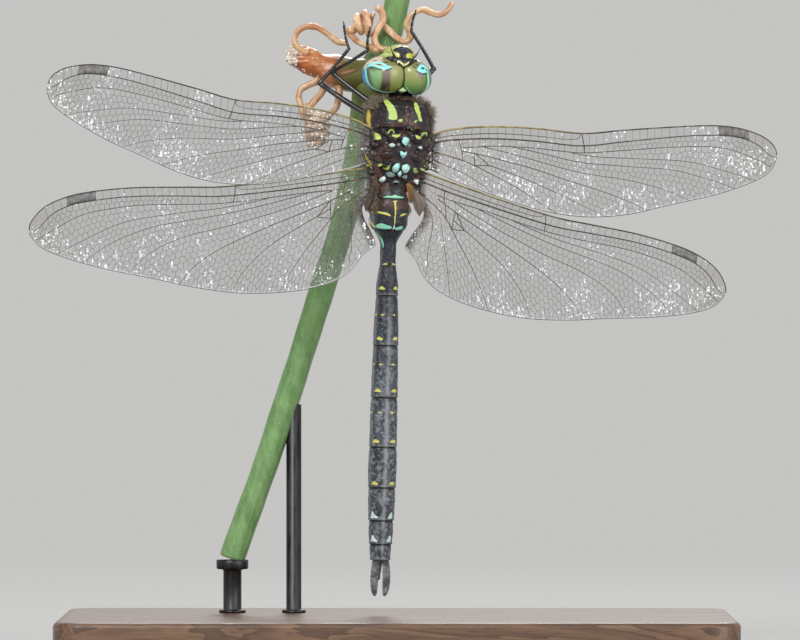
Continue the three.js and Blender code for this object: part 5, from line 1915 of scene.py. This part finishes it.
def buildLegs(v, material):
    spines, spineRadii = [], []
    rng = np.random.default_rng(v["seed"])
    rows = v["rows"]
    for name, joints in v["joints"].items():
        hip, knee, ankle, toe = np.array(joints, float)
        inside = hip + unit(hip - knee) * 0.4
        parts = [ballData(hip * 0.75 + inside * 0.25, v["hip"], 20, 14)[:2]]
        plane = unit(np.cross(knee - hip, ankle - knee))
        for part, (a, b) in {"thigh": (inside, knee), "shin": (knee, ankle), "foot": (ankle, toe)}.items():
            path = limbPath(a, b, v["bow"][part], rows)
            radius = profile(v[part])(np.linspace(0, 1, rows))
            # a faint keel along each length
            parts.append(tubeData(path, radius, 14, lambda s, angle: 1 + 0.07 * np.cos(3 * angle)))
            number, length, thick = v["spines"][part]
            along = unit(b - a)
            belly = np.cross(along, plane)
            for row in (-1, 1):
                lean = belly * 0.8 + plane * row * 0.75
                for s in np.linspace(0.14, 0.93, number):
                    at = int(s * (rows - 1))
                    root = path[at] + lean * radius[at] * 0.6
                    size = length * rng.uniform(0.75, 1.1) * math.sin(math.pi * (0.2 + 0.7 * s)) ** 0.4
                    tip = root + (lean * 0.75 + along * 0.55) * size
                    spines.append(np.array([root, (root + tip) / 2 - along * 0.06 * size, tip]) * mm)
                    spineRadii.append(np.array([thick, thick * 0.6, 0.008]))
        for joint, size in zip((knee, ankle), v["knuckles"]):
            parts.append(ballData(joint, (size,) * 3, 16, 10)[:2])
        along = unit(toe - ankle)
        for row in (-1, 1):
            bend = toe + along * 0.32 + plane * row * 0.22
            hook = [toe, bend, toe + along * 0.5 + plane * row * 0.3 + np.array([0, 0.22, 0])]
            parts.append(tubeData(catmull(hook, v["claw"][2]), np.linspace(*v["claw"]), 8))
        points, faces = joinData(parts)
        leg = meshObject(f"leg_{name}", (moved(worldMatrix, points), faces), material)
        onBody(leg, "legs", *[f"leg_{name}_{part}" for part in ("femur", "tibia", "tarsus")])
    onBody(strands("legSpines", spines, spineRadii, material), "legs")


buildLegs(legSettings, legShell)
print("stage: legs built")

# the claspers at the tip of the tail
clasperSettings = {
    "pieces": {
        "cercusLeaf_left": ("leaf", -1, "cercus_left"), "cercusLeaf_right": ("leaf", 1, "cercus_right"),
        "lowerClasper": ("lower", 1, "epiproct"),
    },
    # distance behind the front of the tail, middle, half width, half thickness, depth
    "leaf": [
        (47.5, 0.6, 0.34, 0.24, -0.3), (48.3, 0.68, 0.42, 0.26, -0.36), (49.4, 0.78, 0.5, 0.2, -0.42),
        (50.6, 0.84, 0.54, 0.16, -0.44), (51.8, 0.83, 0.51, 0.14, -0.42), (52.7, 0.76, 0.38, 0.12, -0.36),
        (53.2, 0.68, 0.16, 0.08, -0.3),
    ],
    "lower": [
        (47.6, 0, 0.75, 0.25, 0.55), (48.6, 0, 0.7, 0.24, 0.62), (49.8, 0, 0.5, 0.2, 0.7),
        (50.8, 0, 0.36, 0.17, 0.66), (51.15, 0, 0.26, 0.1, 0.6),
    ],
}


def clasperData(stations, side, columns=26, rows=70):
    along, centre, wide = catmull([s[:3] for s in stations], rows).T[..., None]
    thick, depth, _ = catmull([(s[3], s[4], 0) for s in stations], rows).T[..., None]
    angle = ringAngles(columns)[None, :]
    x = np.cos(angle)
    ridge = 0.1 * bell(x, 0.22) - 0.05 * bell(np.abs(x) - 0.5, 0.2)
    low = depth + thick * np.sin(angle) * (1 - 0.35 * x * x) - ridge * (np.sin(angle) < 0) + 0.12 * x * x
    grid = np.stack([side * (centre + wide * x), low, -along * np.ones_like(x)], -1)
    return ringData(moved(abdomenMatrix, grid))


clasperShell = hornMaterial("clasperShell", (0.05, 0.054, 0.056), (0.24, 0.25, 0.25), (0.3, 0.5), 0.2)
for clasperName, (clasperShape, clasperSide, clasperNode) in clasperSettings["pieces"].items():
    clasperForm = clasperData(clasperSettings[clasperShape], clasperSide)
    onBody(meshObject(clasperName, clasperForm, clasperShell), "shell", clasperNode)
print("stage: claspers built")


# the perch: a cut length of climbing stem with a side branch, a thorn and curled tendrils
stemSettings = {
    "path": [
        (-21.8, 8.5, 13.1), (-20.6, 8.5, 16.5), (-17.1, 8.5, 26.2), (-13.5, 8.5, 37.2), (-9.9, 8.5, 48.6),
        (-7.1, 8.5, 57.5), (-5.3, 8.5, 66), (-4.3, 8.5, 73), (-3, 8.5, 77), (-0.9, 8.5, 82.6),
        (0.3, 8.5, 88),
    ],
    "radius": 1.65,
    "jointAt": 0.845,
    "ribs": 9,
    "size": (420, 72),
}
branchSettings = {
    "path": [
        (-3.2, 8.5, 77), (-5.4, 8.4, 76.9), (-7.6, 8.2, 77.2), (-10.5, 7.8, 78.1), (-13, 7.4, 79.3),
        (-14.3, 7.2, 79.9),
    ],
    "radius": [[0, 2.3], [0.4, 2.25], [0.7, 1.85], [0.92, 1.4], [1, 1.05]],
    "size": (150, 80),
    "seed": 3,
    "thorn": [(-7.9, 6.35, 77.0), (-6.9, 6.1, 77.1), (-6.1, 6.0, 77.3), (-5.2, 6.0, 77.6)],
    "thornSize": (30, 20),
}


def coilPath(centre, axis, first, turns, rise, radii, skip=0):
    # a winding about an axis, from one radius to another
    axis, first = np.array(axis, float), np.array(first, float)
    t = np.linspace(0, 1, turns * 9 + 1)[skip:, None]
    angle = 2 * np.pi * turns * t
    r = radii[0] + (radii[1] - radii[0]) * t
    r = r * (1 + 0.09 * np.sin(angle * 0.43 + 1) + 0.04 * np.sin(angle * 1.7))
    sway = first * 0.16 * np.sin(angle * 0.61) + axis * 0.13 * np.sin(angle * 1.27 + 2)
    turned = first * np.cos(angle) + np.cross(axis, first) * np.sin(angle)
    return [tuple(p) for p in np.array(centre) + axis * (t - 0.5) * rise + sway + r * turned]


tendrilSettings = {
    "radius": 0.43,
    "columns": 22,
    "paths": [
        # a hoop from the branch's tip over to the bundle
        [
            (-11.6, 6.4, 79.6), (-12.9, 6.2, 80.3), (-13.5, 6.2, 81.4), (-13, 6.2, 82.6),
            (-11.9, 6.2, 83.2), (-10.7, 6.2, 83.15), (-9.6, 6.2, 82.6), (-8.6, 6.2, 81.8),
            (-7.6, 6.2, 81.15), (-6.6, 6.2, 81),
        ],
        # the bundle beside the stem, and its free end down to the face
        [(-2.6, 3.6, 79.9), (-3.9, 4.9, 80.6), (-5.3, 5.3, 81.3), (-6.45, 5.5, 82.6)]
        + coilPath((-4.75, 5.6, 83.6), (1, 0, 0), (0, 0, 1), 3, 3.1, (1.15, 1.3), 4),
        # an S in front of the stem
        [
            (-2.75, 5.2, 85.8), (-2, 5.3, 85.1), (-1.85, 5.3, 84), (-2.5, 5.3, 82.9), (-2.95, 5.3, 81.8),
            (-2.75, 5.2, 80.8), (-2, 5, 80.2), (-1.2, 4.7, 80.3),
        ],
        # round the stem and away to the right
        [
            (-2.2, 6.35, 83.7), (-1, 6.3, 82.6), (0, 6.25, 81.7), (1, 6.2, 81.2), (1.7, 6.2, 81.6),
            (1.7, 6.2, 82.5), (1.3, 6.1, 83.4), (1.55, 6, 84.3), (2.2, 6, 84.95), (3.4, 6, 85.4),
            (4.5, 6, 85), (5.5, 6, 84.75), (6.55, 6, 85.2), (7.4, 6, 86.4),
        ],
        # the lower hoop and the hanging spiral
        [
            (-10.0, 7.4, 76.9), (-10.7, 7.25, 76.0), (-11.8, 7.2, 75.5), (-12.7, 7.2, 74.9),
            (-12.95, 7.2, 73.9), (-12.7, 7.2, 72.9),
        ]
        + coilPath((-10.6, 7.2, 69.7), (0, 0, -1), (-1, 0, 0), 4, 4.1, (1.75, 1.05)),
        # from the branch's root down to the spiral
        [
            (-7.9, 7.2, 75.6), (-7.6, 6.8, 74.6), (-7.75, 6.7, 73.6), (-8, 6.5, 72.6), (-8.7, 6.0, 71.8),
            (-9.6, 5.7, 71.35), (-10.7, 5.8, 71.5), (-11.4, 6.2, 72.2), (-11.9, 6.9, 73.2),
        ],
        # a short piece across, between the branch and the spiral
        [(-9.6, 7.3, 75.2), (-10.1, 7.0, 74.3), (-10.9, 6.6, 73.4), (-11.6, 6.4, 72.4), (-11.9, 6.5, 71.6)],
    ],
}


def stemMaterial():
    look = Finish("greenStem", {"IOR": 1.42, "Coat Roughness": 0.3, "Coat Weight": 0.15})
    grain = look.noise(800, 5, 0.65, look.place(scale=(1, 1, 0.4)))
    broad = look.noise(130, 3)
    colour = blend(grain.span(0.3, 0.7), (0.11, 0.225, 0.07), (0.2, 0.355, 0.135))
    colour = blend(broad.span(0.45, 0.65) * 0.5, colour, (0.13, 0.23, 0.06))
    olive = blend(grain.span(0.35, 0.65), (0.1, 0.12, 0.025), (0.17, 0.2, 0.05))
    colour = blend(look.mark("collar") * 0.8, colour, olive)
    wax = look.cells(2600).span(0.12, 0.24, 1, 0)
    wax = wax * look.noise(1500, 2).span(0.48, 0.6)
    colour = blend(wax * 0.55, colour, (0.46, 0.6, 0.36))
    blot = look.noise(420, 4, 0.6).span(0.66, 0.73)
    colour = blend(blot * 0.55, colour, (0.05, 0.075, 0.02))
    colour = blend(look.mark("cutEnd"), colour, (0.52, 0.5, 0.3))
    rough = grain.span(0.3, 0.7, 0.38, 0.58)
    normal = look.bump(grain, 0.3, 0.00015, look.bump(wax, 0.25, 0.00006))
    return look.done(colour, rough=rough, normal=normal)


def barkMaterial():
    look = Finish("orangeBark", {"IOR": 1.45, "Coat Roughness": 0.2, "Coat Weight": 0.35})
    flow = look.noise(420, 5, 0.6, look.place(scale=(0.45, 1, 1.3), turn=(0, 20, 0)))
    colour = look.ramp(flow, [
        (0.3, (0.2, 0.045, 0.012)), (0.45, (0.42, 0.125, 0.035)), (0.6, (0.55, 0.24, 0.09)),
        (0.74, (0.42, 0.3, 0.14)),
    ])
    colour = blend(look.mark("root"), colour, blend(flow, (0.1, 0.11, 0.02), (0.2, 0.2, 0.06)))
    pale = look.noise(900, 3).span(0.4, 0.6, 0.65, 1)
    crust = look.mark("crust") * pale
    colour = blend(crust, colour, (0.66, 0.58, 0.52))
    rough = flow.span(0.3, 0.7, 0.28, 0.45).maths("ADD", crust * 0.35, clamp=True)
    normal = look.bump(flow, 0.5, 0.0002, look.bump(look.noise(3500, 4), 0.3, 0.0001))
    return look.done(colour, rough=rough, normal=normal)


def tendrilMaterial():
    look = Finish("tendrilSkin", {"IOR": 1.45, "Coat Roughness": 0.15, "Coat Weight": 0.4})
    flow = look.noise(520, 4, 0.6)
    warm = look.noise(150, 3)
    colour = look.ramp(flow, [
        (0.28, (0.36, 0.15, 0.07)), (0.43, (0.56, 0.31, 0.16)), (0.57, (0.7, 0.46, 0.27)),
        (0.72, (0.84, 0.68, 0.48)),
    ])
    # pale cream streaks are painted highlights
    pale = look.noise(800, 4, 0.6, look.place(scale=(1, 1, 0.5))).span(0.5, 0.66)
    colour = blend(pale * 0.5, colour, (0.84, 0.72, 0.53))
    colour = blend(warm.span(0.48, 0.66) * 0.5, colour, (0.36, 0.13, 0.055))
    # painted shade: darker in the groove
    colour = blend(look.mark("grooveShade") * 0.55, colour, (0.3, 0.1, 0.04))
    rough = flow.span(0.3, 0.7, 0.26, 0.42)
    normal = look.bump(flow, 0.35, 0.00012, look.bump(look.noise(4200, 3), 0.25, 0.00006))
    return look.done(colour, rough=rough, normal=normal)


def perchPiece(name, data, material, marks, node, slot):
    points, faces = data
    return onBody(meshObject(name, (moved(worldMatrix, points), faces), material, marks), slot, node)


def rowMarks(columns, **marks):
    # numbers along a tube, each with its values at the two end points
    return {key: np.append(np.repeat(values, columns), ends) for key, (values, ends) in marks.items()}


def buildStem(v, material):
    rows, columns = v["size"]
    t = np.linspace(0, 1, rows)
    swell = bell(t - v["jointAt"], 0.035)
    radius = v["radius"] + 0.75 * swell + 0.035 * np.sin(t * 31) + 0.02 * np.sin(t * 83)
    radius[:2] *= (0.9, 0.985)
    radius[-2:] *= (0.985, 0.9)

    def ribs(s, angle):
        return 1 + 0.014 * np.cos(v["ribs"] * angle + 3 * s) + 0.008 * np.sin(17 * angle + 40 * s)

    data = tubeData(evenly(catmull(v["path"], 1200), rows), radius, columns, ribs, roundEnds=False)
    collar = np.clip(swell * 1.3 + 0.8 * bell(t - v["jointAt"] + 0.035, 0.03), 0, 1)
    cut = np.where((t < 0.001) | (t > 0.999), 1.0, 0.0)
    marks = rowMarks(columns, collar=(collar, [0, 0]), cutEnd=(cut, [1, 1]))
    perchPiece("greenStem", data, material, marks, "stem", "stem")


def buildBranch(v, material):
    rows, columns = v["size"]
    t = np.linspace(0, 1, rows)
    radius = profile(v["radius"])(t) * (1 - 0.12 * bell(t - 0.62, 0.1))
    phase = np.random.default_rng(v["seed"]).uniform(0, 6, 6)

    def knobbly(s, angle):
        waves = 0.05 * np.sin(3 * angle + 5 * s + phase[0]) + 0.03 * np.sin(5 * angle - 12 * s + phase[1])
        crumbs = 0.09 * np.sin(9 * angle + 38 * s + phase[2]) * np.sin(31 * s + 4 * angle + phase[3])
        return 1 + waves * (0.35 + s) + crumbs * step01(s, 0.66, 0.97)

    data = tubeData(evenly(catmull(v["path"], 600), rows), radius, columns, knobbly)
    root, crust = 1 - step01(t, 0.24, 0.52), step01(t, 0.86, 0.97)
    marks = rowMarks(columns, root=(root, [1, 0]), crust=(crust, [0, 1]))
    rows, columns = v["thornSize"]
    thorn = tubeData(catmull(v["thorn"], rows), np.linspace(0.5, 0.05, rows) ** 0.8 * 0.9, columns)
    thornMarks = {"root": np.full(len(thorn[0]), 0.25), "crust": np.zeros(len(thorn[0]))}
    branch = perchPiece("sideBranch", data, material, marks, "side_branch", "branch")
    perchPiece("thornSpike", thorn, material, thornMarks, "thorn", "branch")
    return branch


def buildTendrils(v, material):
    pieces = []
    columns = v["columns"]
    for index, points in enumerate(v["paths"]):
        fine = catmull(points, 1500)
        length = np.linalg.norm(np.diff(fine, axis=0), axis=1).sum()
        rows = max(60, int(length * 6.5))
        t = np.linspace(0, 1, rows)
        swell = 0.06 * np.sin(t * length * 1.3) + 0.035 * np.sin(t * length * 3.4 + index)
        radius = v["radius"] * (1 + swell)
        radius *= 1 - 0.25 * step01(t, 0.86, 1.0)

        def groove(s, angle, wide, turn=0.2 * length):
            return bell((angle + turn * s) % (2 * np.pi) - 3.1, wide)

        def flatGroove(s, angle, turn=0.4 * length):
            return 1 + 0.07 * np.cos(2 * angle + turn * s) - 0.1 * groove(s, angle, 0.35)

        data = tubeData(evenly(fine, rows), radius, columns, flatGroove)
        # where the groove lies, for the painted shade in it
        marks = {"grooveShade": np.append(groove(t[:, None], ringAngles(columns)[None, :], 0.3), [0, 0])}
        node = f"tendril_{min(index + 1, 6)}"
        pieces.append(perchPiece(f"tendrilCurl_{index + 1}", data, material, marks, node, "tendrils"))
    return pieces


buildStem(stemSettings, stemMaterial())
branch = buildBranch(branchSettings, barkMaterial())
tendrilPieces = buildTendrils(tendrilSettings, tendrilMaterial())
print("stage: perch built")

# sap beads and crumbs scattered over the perch
beadSettings = {
    # name, piece (a tendril's number, or the branch), beads on each square metre, size in mm, seed
    "scatters": [
        ("branchBeads", "branch", 4.5e5, 0.13, 4), ("branchCrumbs", "branch", 1.4e7, 0.19, 9),
        ("tendrilBeads_1", 1, 1.6e5, 0.11, 2), ("tendrilBeads_2", 2, 1.6e5, 0.11, 7),
        ("tendrilBeads_4", 4, 1.6e5, 0.11, 5), ("tendrilBeads_5", 5, 1.6e5, 0.11, 8),
    ],
    "sizes": (0.4, 1.3),       # smallest and largest share of that size
    # the stretch of the branch that each scatter covers, in mm across
    "stretch": {"branchBeads": (-13.2, -7.5), "branchCrumbs": (-99, -13.2)},
    "beadsBehind": 8.6,        # no beads on the branch deeper than this, mm
}


def scatterGroup(name, v, material):
    tree, given, keys = nodeGroup(name, {"Density": "Float", "Bead Size": "Float", "Seed": "Int"})
    sockets = {"Mesh": given["Geometry"], "Density": given["Density"], "Seed": given["Seed"]}
    scatter = put(tree, "GeometryNodeDistributePointsOnFaces", sockets).outputs
    bead = put(tree, "GeometryNodeMeshIcoSphere", {"Radius": given["Bead Size"], "Subdivisions": 2})
    low, high = v["sizes"]
    sockets = {0: (low,) * 3, 1: (high,) * 3, "Seed": given["Seed"]}
    vary = put(tree, "FunctionNodeRandomValue", sockets, data_type="FLOAT_VECTOR")
    sockets = {
        "Points": scatter["Points"], "Instance": bead.outputs["Mesh"], "Scale": vary.outputs[0],
        "Rotation": scatter["Rotation"],
    }
    placed = put(tree, "GeometryNodeInstanceOnPoints", sockets)
    closeGroup(tree, placed.outputs[0], material)
    return tree, keys


def scatterBeads(name, source, density, size, seed, v, material):
    # the faces of the source that may carry beads, by their middle
    low, high = v["stretch"].get(name, (-99, 99))
    deepest = v["beadsBehind"] if name == "branchBeads" else 99
    form = bmesh.new()
    form.from_mesh(source.data)
    away = []
    for face in form.faces:
        middle = face.calc_center_median() / mm
        if not (low < middle.x < high and middle.y < deepest):
            away.append(face)
    bmesh.ops.delete(form, geom=away, context="FACES")
    ground = bpy.data.meshes.new(name + "Ground")
    form.to_mesh(ground)
    form.free()
    tree, keys = scatterGroup(name + "Nodes", v, material)
    values = {"Density": density, "Bead Size": size * mm, "Seed": seed}
    onBody(evaluated(name, ground, tree, keys, values), "branch" if "branch" in name else "tendrils")


def beadMaterial():
    look = Finish("sapBead", {"IOR": 1.4, "Coat Weight": 0.6, "Coat Roughness": 0.1, "Roughness": 0.35})
    fine = look.noise(2200, 3)
    colour = blend(fine.span(0.3, 0.7), (0.5, 0.42, 0.34), (0.82, 0.76, 0.68))
    return look.done(colour, normal=look.bump(fine, 0.2, 0.00005))


beadFinish = beadMaterial()
for beadName, beadPiece, beadDensity, beadSize, beadSeed in beadSettings["scatters"]:
    beadSource = branch if beadPiece == "branch" else tendrilPieces[beadPiece - 1]
    scatterBeads(beadName, beadSource, beadDensity, beadSize, beadSeed, beadSettings, beadFinish)
print("stage: beads scattered")

# the display stand: a wooden base and two blackened rods, one with a cup for the stem's foot
standSettings = {
    "base": (88, 52, 6), "corner": 4, "edge": 0.7,
    # radius and height, from the bottom up: the foot's from the base's top, the head's from the rod's top
    "rods": {
        "steelRod_1": {
            "place": (-21.7, 8.5), "top": 12.0, "node": "stand_rod_1",
            "foot": [(1.7, 0.02), (1.78, 0.1), (1.78, 0.3), (1.7, 0.38), (1.25, 0.42), (1.2, 0.5)],
            "head": [
                (1.2, -0.45), (1.3, -0.3), (2.0, -0.22), (2.1, -0.12),
                (2.12, 0.9), (2.05, 1.0), (1.95, 0.96), (1.9, 0.4),
            ],
        },
        "steelRod_2": {
            "place": (-13.6, 8.5), "top": 33.4, "node": "stand_rod_2",
            "foot": [(1.5, 0.02), (1.58, 0.1), (1.58, 0.3), (1.5, 0.38), (1.05, 0.42), (1.0, 0.5)],
            "head": [(1.0, 0), (0.92, 0.1)],
        },
    },
}


def roundedOutline(width, depth, corner, count=14):
    points = []
    for cx, cy, start in ((1, 1, 0), (-1, 1, 90), (-1, -1, 180), (1, -1, 270)):
        for a in np.radians(start + np.linspace(0, 90, count)):
            x = cx * (width / 2 - corner) + corner * math.cos(a)
            points.append((x, cy * (depth / 2 - corner) + corner * math.sin(a)))
    return np.array(points)


def buildBase(v, material):
    width, depth, high = v["base"]
    edge = v["edge"]
    inner = edge + 1.0
    turns = np.radians(np.linspace(0, 90, 6))
    lower = [(edge * (1 - math.sin(a)), edge * (1 - math.cos(a))) for a in turns]
    rings = [(inner, 0.0)] + lower + [(inset, high - z) for inset, z in lower[::-1]] + [(inner, high)]
    grid = []
    for inset, z in rings:
        outline = roundedOutline(width - 2 * inset, depth - 2 * inset, v["corner"] - min(inset, 1.2))
        grid.append(np.column_stack([outline, np.full(len(outline), z)]))
    points, faces = ringData(np.array(grid))
    onBody(meshObject("woodBase", (points * mm, faces), material), "stand_wood", "stand_base")


def buildRods(v, material, columns=40):
    angle = ringAngles(columns)
    for name, rod in v["rods"].items():
        x, y = rod["place"]
        outline = [(r, v["base"][2] + z) for r, z in rod["foot"]]
        outline += [(r, rod["top"] + z) for r, z in rod["head"]]
        rings = [(x + r * np.cos(angle), y + r * np.sin(angle), np.full(columns, z)) for r, z in outline]
        points, faces = ringData(np.array(rings).transpose(0, 2, 1))
        onBody(meshObject(name, (points * mm, faces), material), "stand_steel", rod["node"])


def walnutMaterial():
    look = Finish("oiledWalnut", {"IOR": 1.45, "Coat Roughness": 0.25, "Coat Weight": 0.25})
    stretched = look.place(scale=(0.12, 1, 1))
    rings = look.noise(140, 4, 0.6, stretched, 1.2)
    figure = (rings * 9.0).maths("FRACT")
    fibre = look.noise(2600, 4, 0.7, look.place(scale=(0.05, 1, 1)))
    colour = blend(figure.span(0.0, 0.9), (0.085, 0.045, 0.026), (0.19, 0.105, 0.06))
    colour = blend(fibre.span(0.3, 0.72), colour, blend(0.5, colour, (0.08, 0.04, 0.024)))
    pores = look.noise(5200, 2, 0.5, look.place(scale=(0.06, 1, 1))).span(0.62, 0.7)
    colour = blend(pores * 0.7, colour, (0.035, 0.018, 0.011))
    rough = fibre.span(0.3, 0.7, 0.36, 0.52)
    return look.done(colour, rough=rough, normal=look.bump(fibre, 0.25, 0.00012))


def steelMaterial():
    look = Finish("blackenedSteel", {"Metallic": 0.9})
    fine = look.noise(1200, 4, 0.6, look.place(scale=(1, 1, 0.2)))
    colour = blend(fine.span(0.3, 0.7), (0.028, 0.028, 0.03), (0.07, 0.07, 0.074))
    rough = fine.span(0.3, 0.7, 0.32, 0.5)
    return look.done(colour, rough=rough, normal=look.bump(fine, 0.15, 0.0001))


buildBase(standSettings, walnutMaterial())
buildRods(standSettings, steelMaterial())
print("stage: stand built")


# hair: tufts of fine solid strands, rooted on the skin
# zone: body region, angles from the top, places along it, tufts, length, lift off the skin, lean to the
# rear (minus is forward), paleness; lengths in mm
hairSettings = {
    "seed": 41,
    "strandsInTuft": 5,
    "root": 0.026,
    "tip": 0.007,
    "steps": 4,
    "patch": 0.003,            # of the unwrap
    "groups": {
        "hairFront": [
            (1, (-128, -60), (4.1, 5.8), 240, 1.05, 0.9, -0.1, 0.75),
            (1, (-112, -66), (5.0, 5.85), 80, 0.8, 0.8, -0.4, 0.7),
            (1, (-62, 80), (5.55, 5.87), 170, 0.42, 0.35, -0.9, 0.15),
            (1, (52, 126), (3.9, 5.8), 230, 1.1, 0.85, 0.0, 0.6),
            (1, (-12, 11), (1.9, 4.6), 60, 0.34, 0.14, 0.95, 0.9),
            (1, (-74, -50), (2.0, 5.0), 40, 0.3, 0.14, 0.95, 0.3),
        ],
        "hairSides": [
            (1, (60, 130), (0.4, 4.0), 260, 0.95, 0.75, 0.35, 0.55),
            (1, (-135, -108), (-3.0, 4.2), 190, 0.8, 0.7, 0.4, 0.7),
            (1, (-104, -62), (-1.7, 1.2), 120, 0.5, 0.5, 0.6, 0.25),
            (1, (62, 104), (-1.7, 0.6), 110, 0.5, 0.5, 0.6, 0.25),
            (1, (-180, -128), (-4.5, 5.4), 200, 0.7, 0.5, 0.6, 0.75),
            (1, (128, 180), (-4.5, 5.4), 200, 0.7, 0.5, 0.6, 0.75),
        ],
        "hairWaist": [
            (1, (-112, -62), (-5.7, -4.3), 220, 1.3, 0.42, 0.9, 0.32),
            (1, (-62, -34), (-5.7, -5.2), 80, 0.8, 0.3, 0.95, 0.35),
            (1, (34, 112), (-5.7, -5.2), 150, 0.7, 0.35, 0.95, 0.25),
            (1, (-44, 60), (-2.6, 1.3), 50, 0.28, 0.16, 0.95, 0.75),
            (2, (-112, -58), (0.3, 2.9), 110, 0.5, 0.35, 0.9, 0.35),
            (2, (52, 112), (0.3, 2.9), 110, 0.5, 0.35, 0.9, 0.35),
            (2, (112, 180), (0.3, 4.5), 70, 0.5, 0.35, 0.9, 0.7),
            (2, (-180, -112), (0.3, 4.5), 70, 0.5, 0.35, 0.9, 0.7),
        ],
    },
}


def skinFrames():
    # unit normal and rearward direction at every point of the skin's grid
    rear = np.gradient(skinGrid, axis=0)
    normal = np.cross(rear, np.roll(skinGrid, -1, 1) - np.roll(skinGrid, 1, 1))
    centre = skinGrid.mean(1, keepdims=True)
    normal *= np.sign(((skinGrid - centre) * normal).sum(-1, keepdims=True))
    return [way / (np.linalg.norm(way, axis=-1, keepdims=True) + 1e-12) for way in (normal, rear)]


def hairPiece(name, zones, v, material):
    rng = np.random.default_rng(v["seed"] + len(name))
    normals, rears = skinFrames()
    steps, number, patchSize = v["steps"], v["strandsInTuft"], v["patch"]
    s = np.linspace(0, 1, steps)[:, None]
    paths, radii, pale, rootU, rootV = [], [], [], [], []
    for region, (phi0, phi1), (w0, w1), tufts, length, lift, lean, light in zones:
        inside = (skinAngle > phi0) & (skinAngle < phi1) & (skinPlace > w0) & (skinPlace < w1)
        where = np.argwhere(inside & (skinRegion == region))
        # a wider patch of skin draws more tufts
        rows, columns = where.T
        gap = skinGrid[rows, columns] - skinGrid[rows, (columns + 1) % skinGrid.shape[1]]
        width = np.linalg.norm(gap, axis=1)
        for row, column in where[rng.choice(len(where), tufts, p=width / width.sum())]:
            root = skinGrid[row, column] + rng.normal(0, 0.08, 3) * mm
            normal, rear = normals[row, column], rears[row, column]
            tuftWay = normal * lift + rear * lean + np.cross(normal, rear) * rng.normal(0, 0.28)
            tuftLength = length * rng.uniform(0.65, 1.2)
            for strand in range(number):
                way = tuftWay + rng.normal(0, 0.16, 3)
                way /= np.linalg.norm(way)
                long = tuftLength * rng.uniform(0.7, 1.1) * mm
                start = root + rng.normal(0, 0.045, 3) * mm - normal * 0.05 * mm
                bend = rear * 0.3 * lean - normal * 0.12 + rng.normal(0, 0.1, 3)
                paths.append(start + long * (s * way + s * s * bend))
                radii.append(v["root"] + (v["tip"] - v["root"]) * s[:, 0])
                pale.append(np.full(steps, np.clip(light + rng.normal(0, 0.18), 0, 1)))
                u, w = skinUv[row, column]
                rootU.append(np.full(steps, u + patchSize * strand / number))
                rootV.append(w + patchSize * s[:, 0])
    piece = strands(name, paths, radii, material, 3, {"pale": pale, "rootU": rootU, "rootV": rootV})
    # each tuft is a small patch at its root's place on the skin's own unwrap
    mesh = piece.data
    corners = cornerPoints(mesh)
    sideOf = (corners % 3).astype(float)
    for polygon in mesh.polygons:
        ring = sideOf[polygon.loop_start:polygon.loop_start + polygon.loop_total]
        if len(ring) == 4 and ring.max() == 2 and ring.min() == 0:
            ring[ring == 0] = 3
    u, w = np.empty((2, len(mesh.vertices)), dtype=np.float32)
    mesh.attributes["rootU"].data.foreach_get("value", u)
    mesh.attributes["rootV"].data.foreach_get("value", w)
    flat = np.stack([u[corners] + patchSize / number * sideOf / 3.2, w[corners]], -1)
    layer = mesh.uv_layers.new(name="OFBake")
    layer.data.foreach_set("uv", np.clip(flat, 0, 1).astype(np.float32).ravel())
    onBody(piece, "shell")
    return len(mesh.polygons)


def hairMaterial():
    look = Finish("bodyHair", {"IOR": 1.45, "Roughness": 0.55})
    fine = look.noise(900, 3)
    rust = blend(fine.span(0.35, 0.65), (0.05, 0.02, 0.013), (0.17, 0.075, 0.045))
    grey = blend(fine.span(0.35, 0.65), (0.2, 0.165, 0.115), (0.46, 0.41, 0.32))
    colour = blend(look.mark("pale"), rust, grey)
    return look.done(colour)


hairFinish = hairMaterial()
for hairName, hairZones in hairSettings["groups"].items():
    hairFaces = hairPiece(hairName, hairZones, hairSettings, hairFinish)
    print("stage:", hairName, "grown,", hairFaces, "faces")
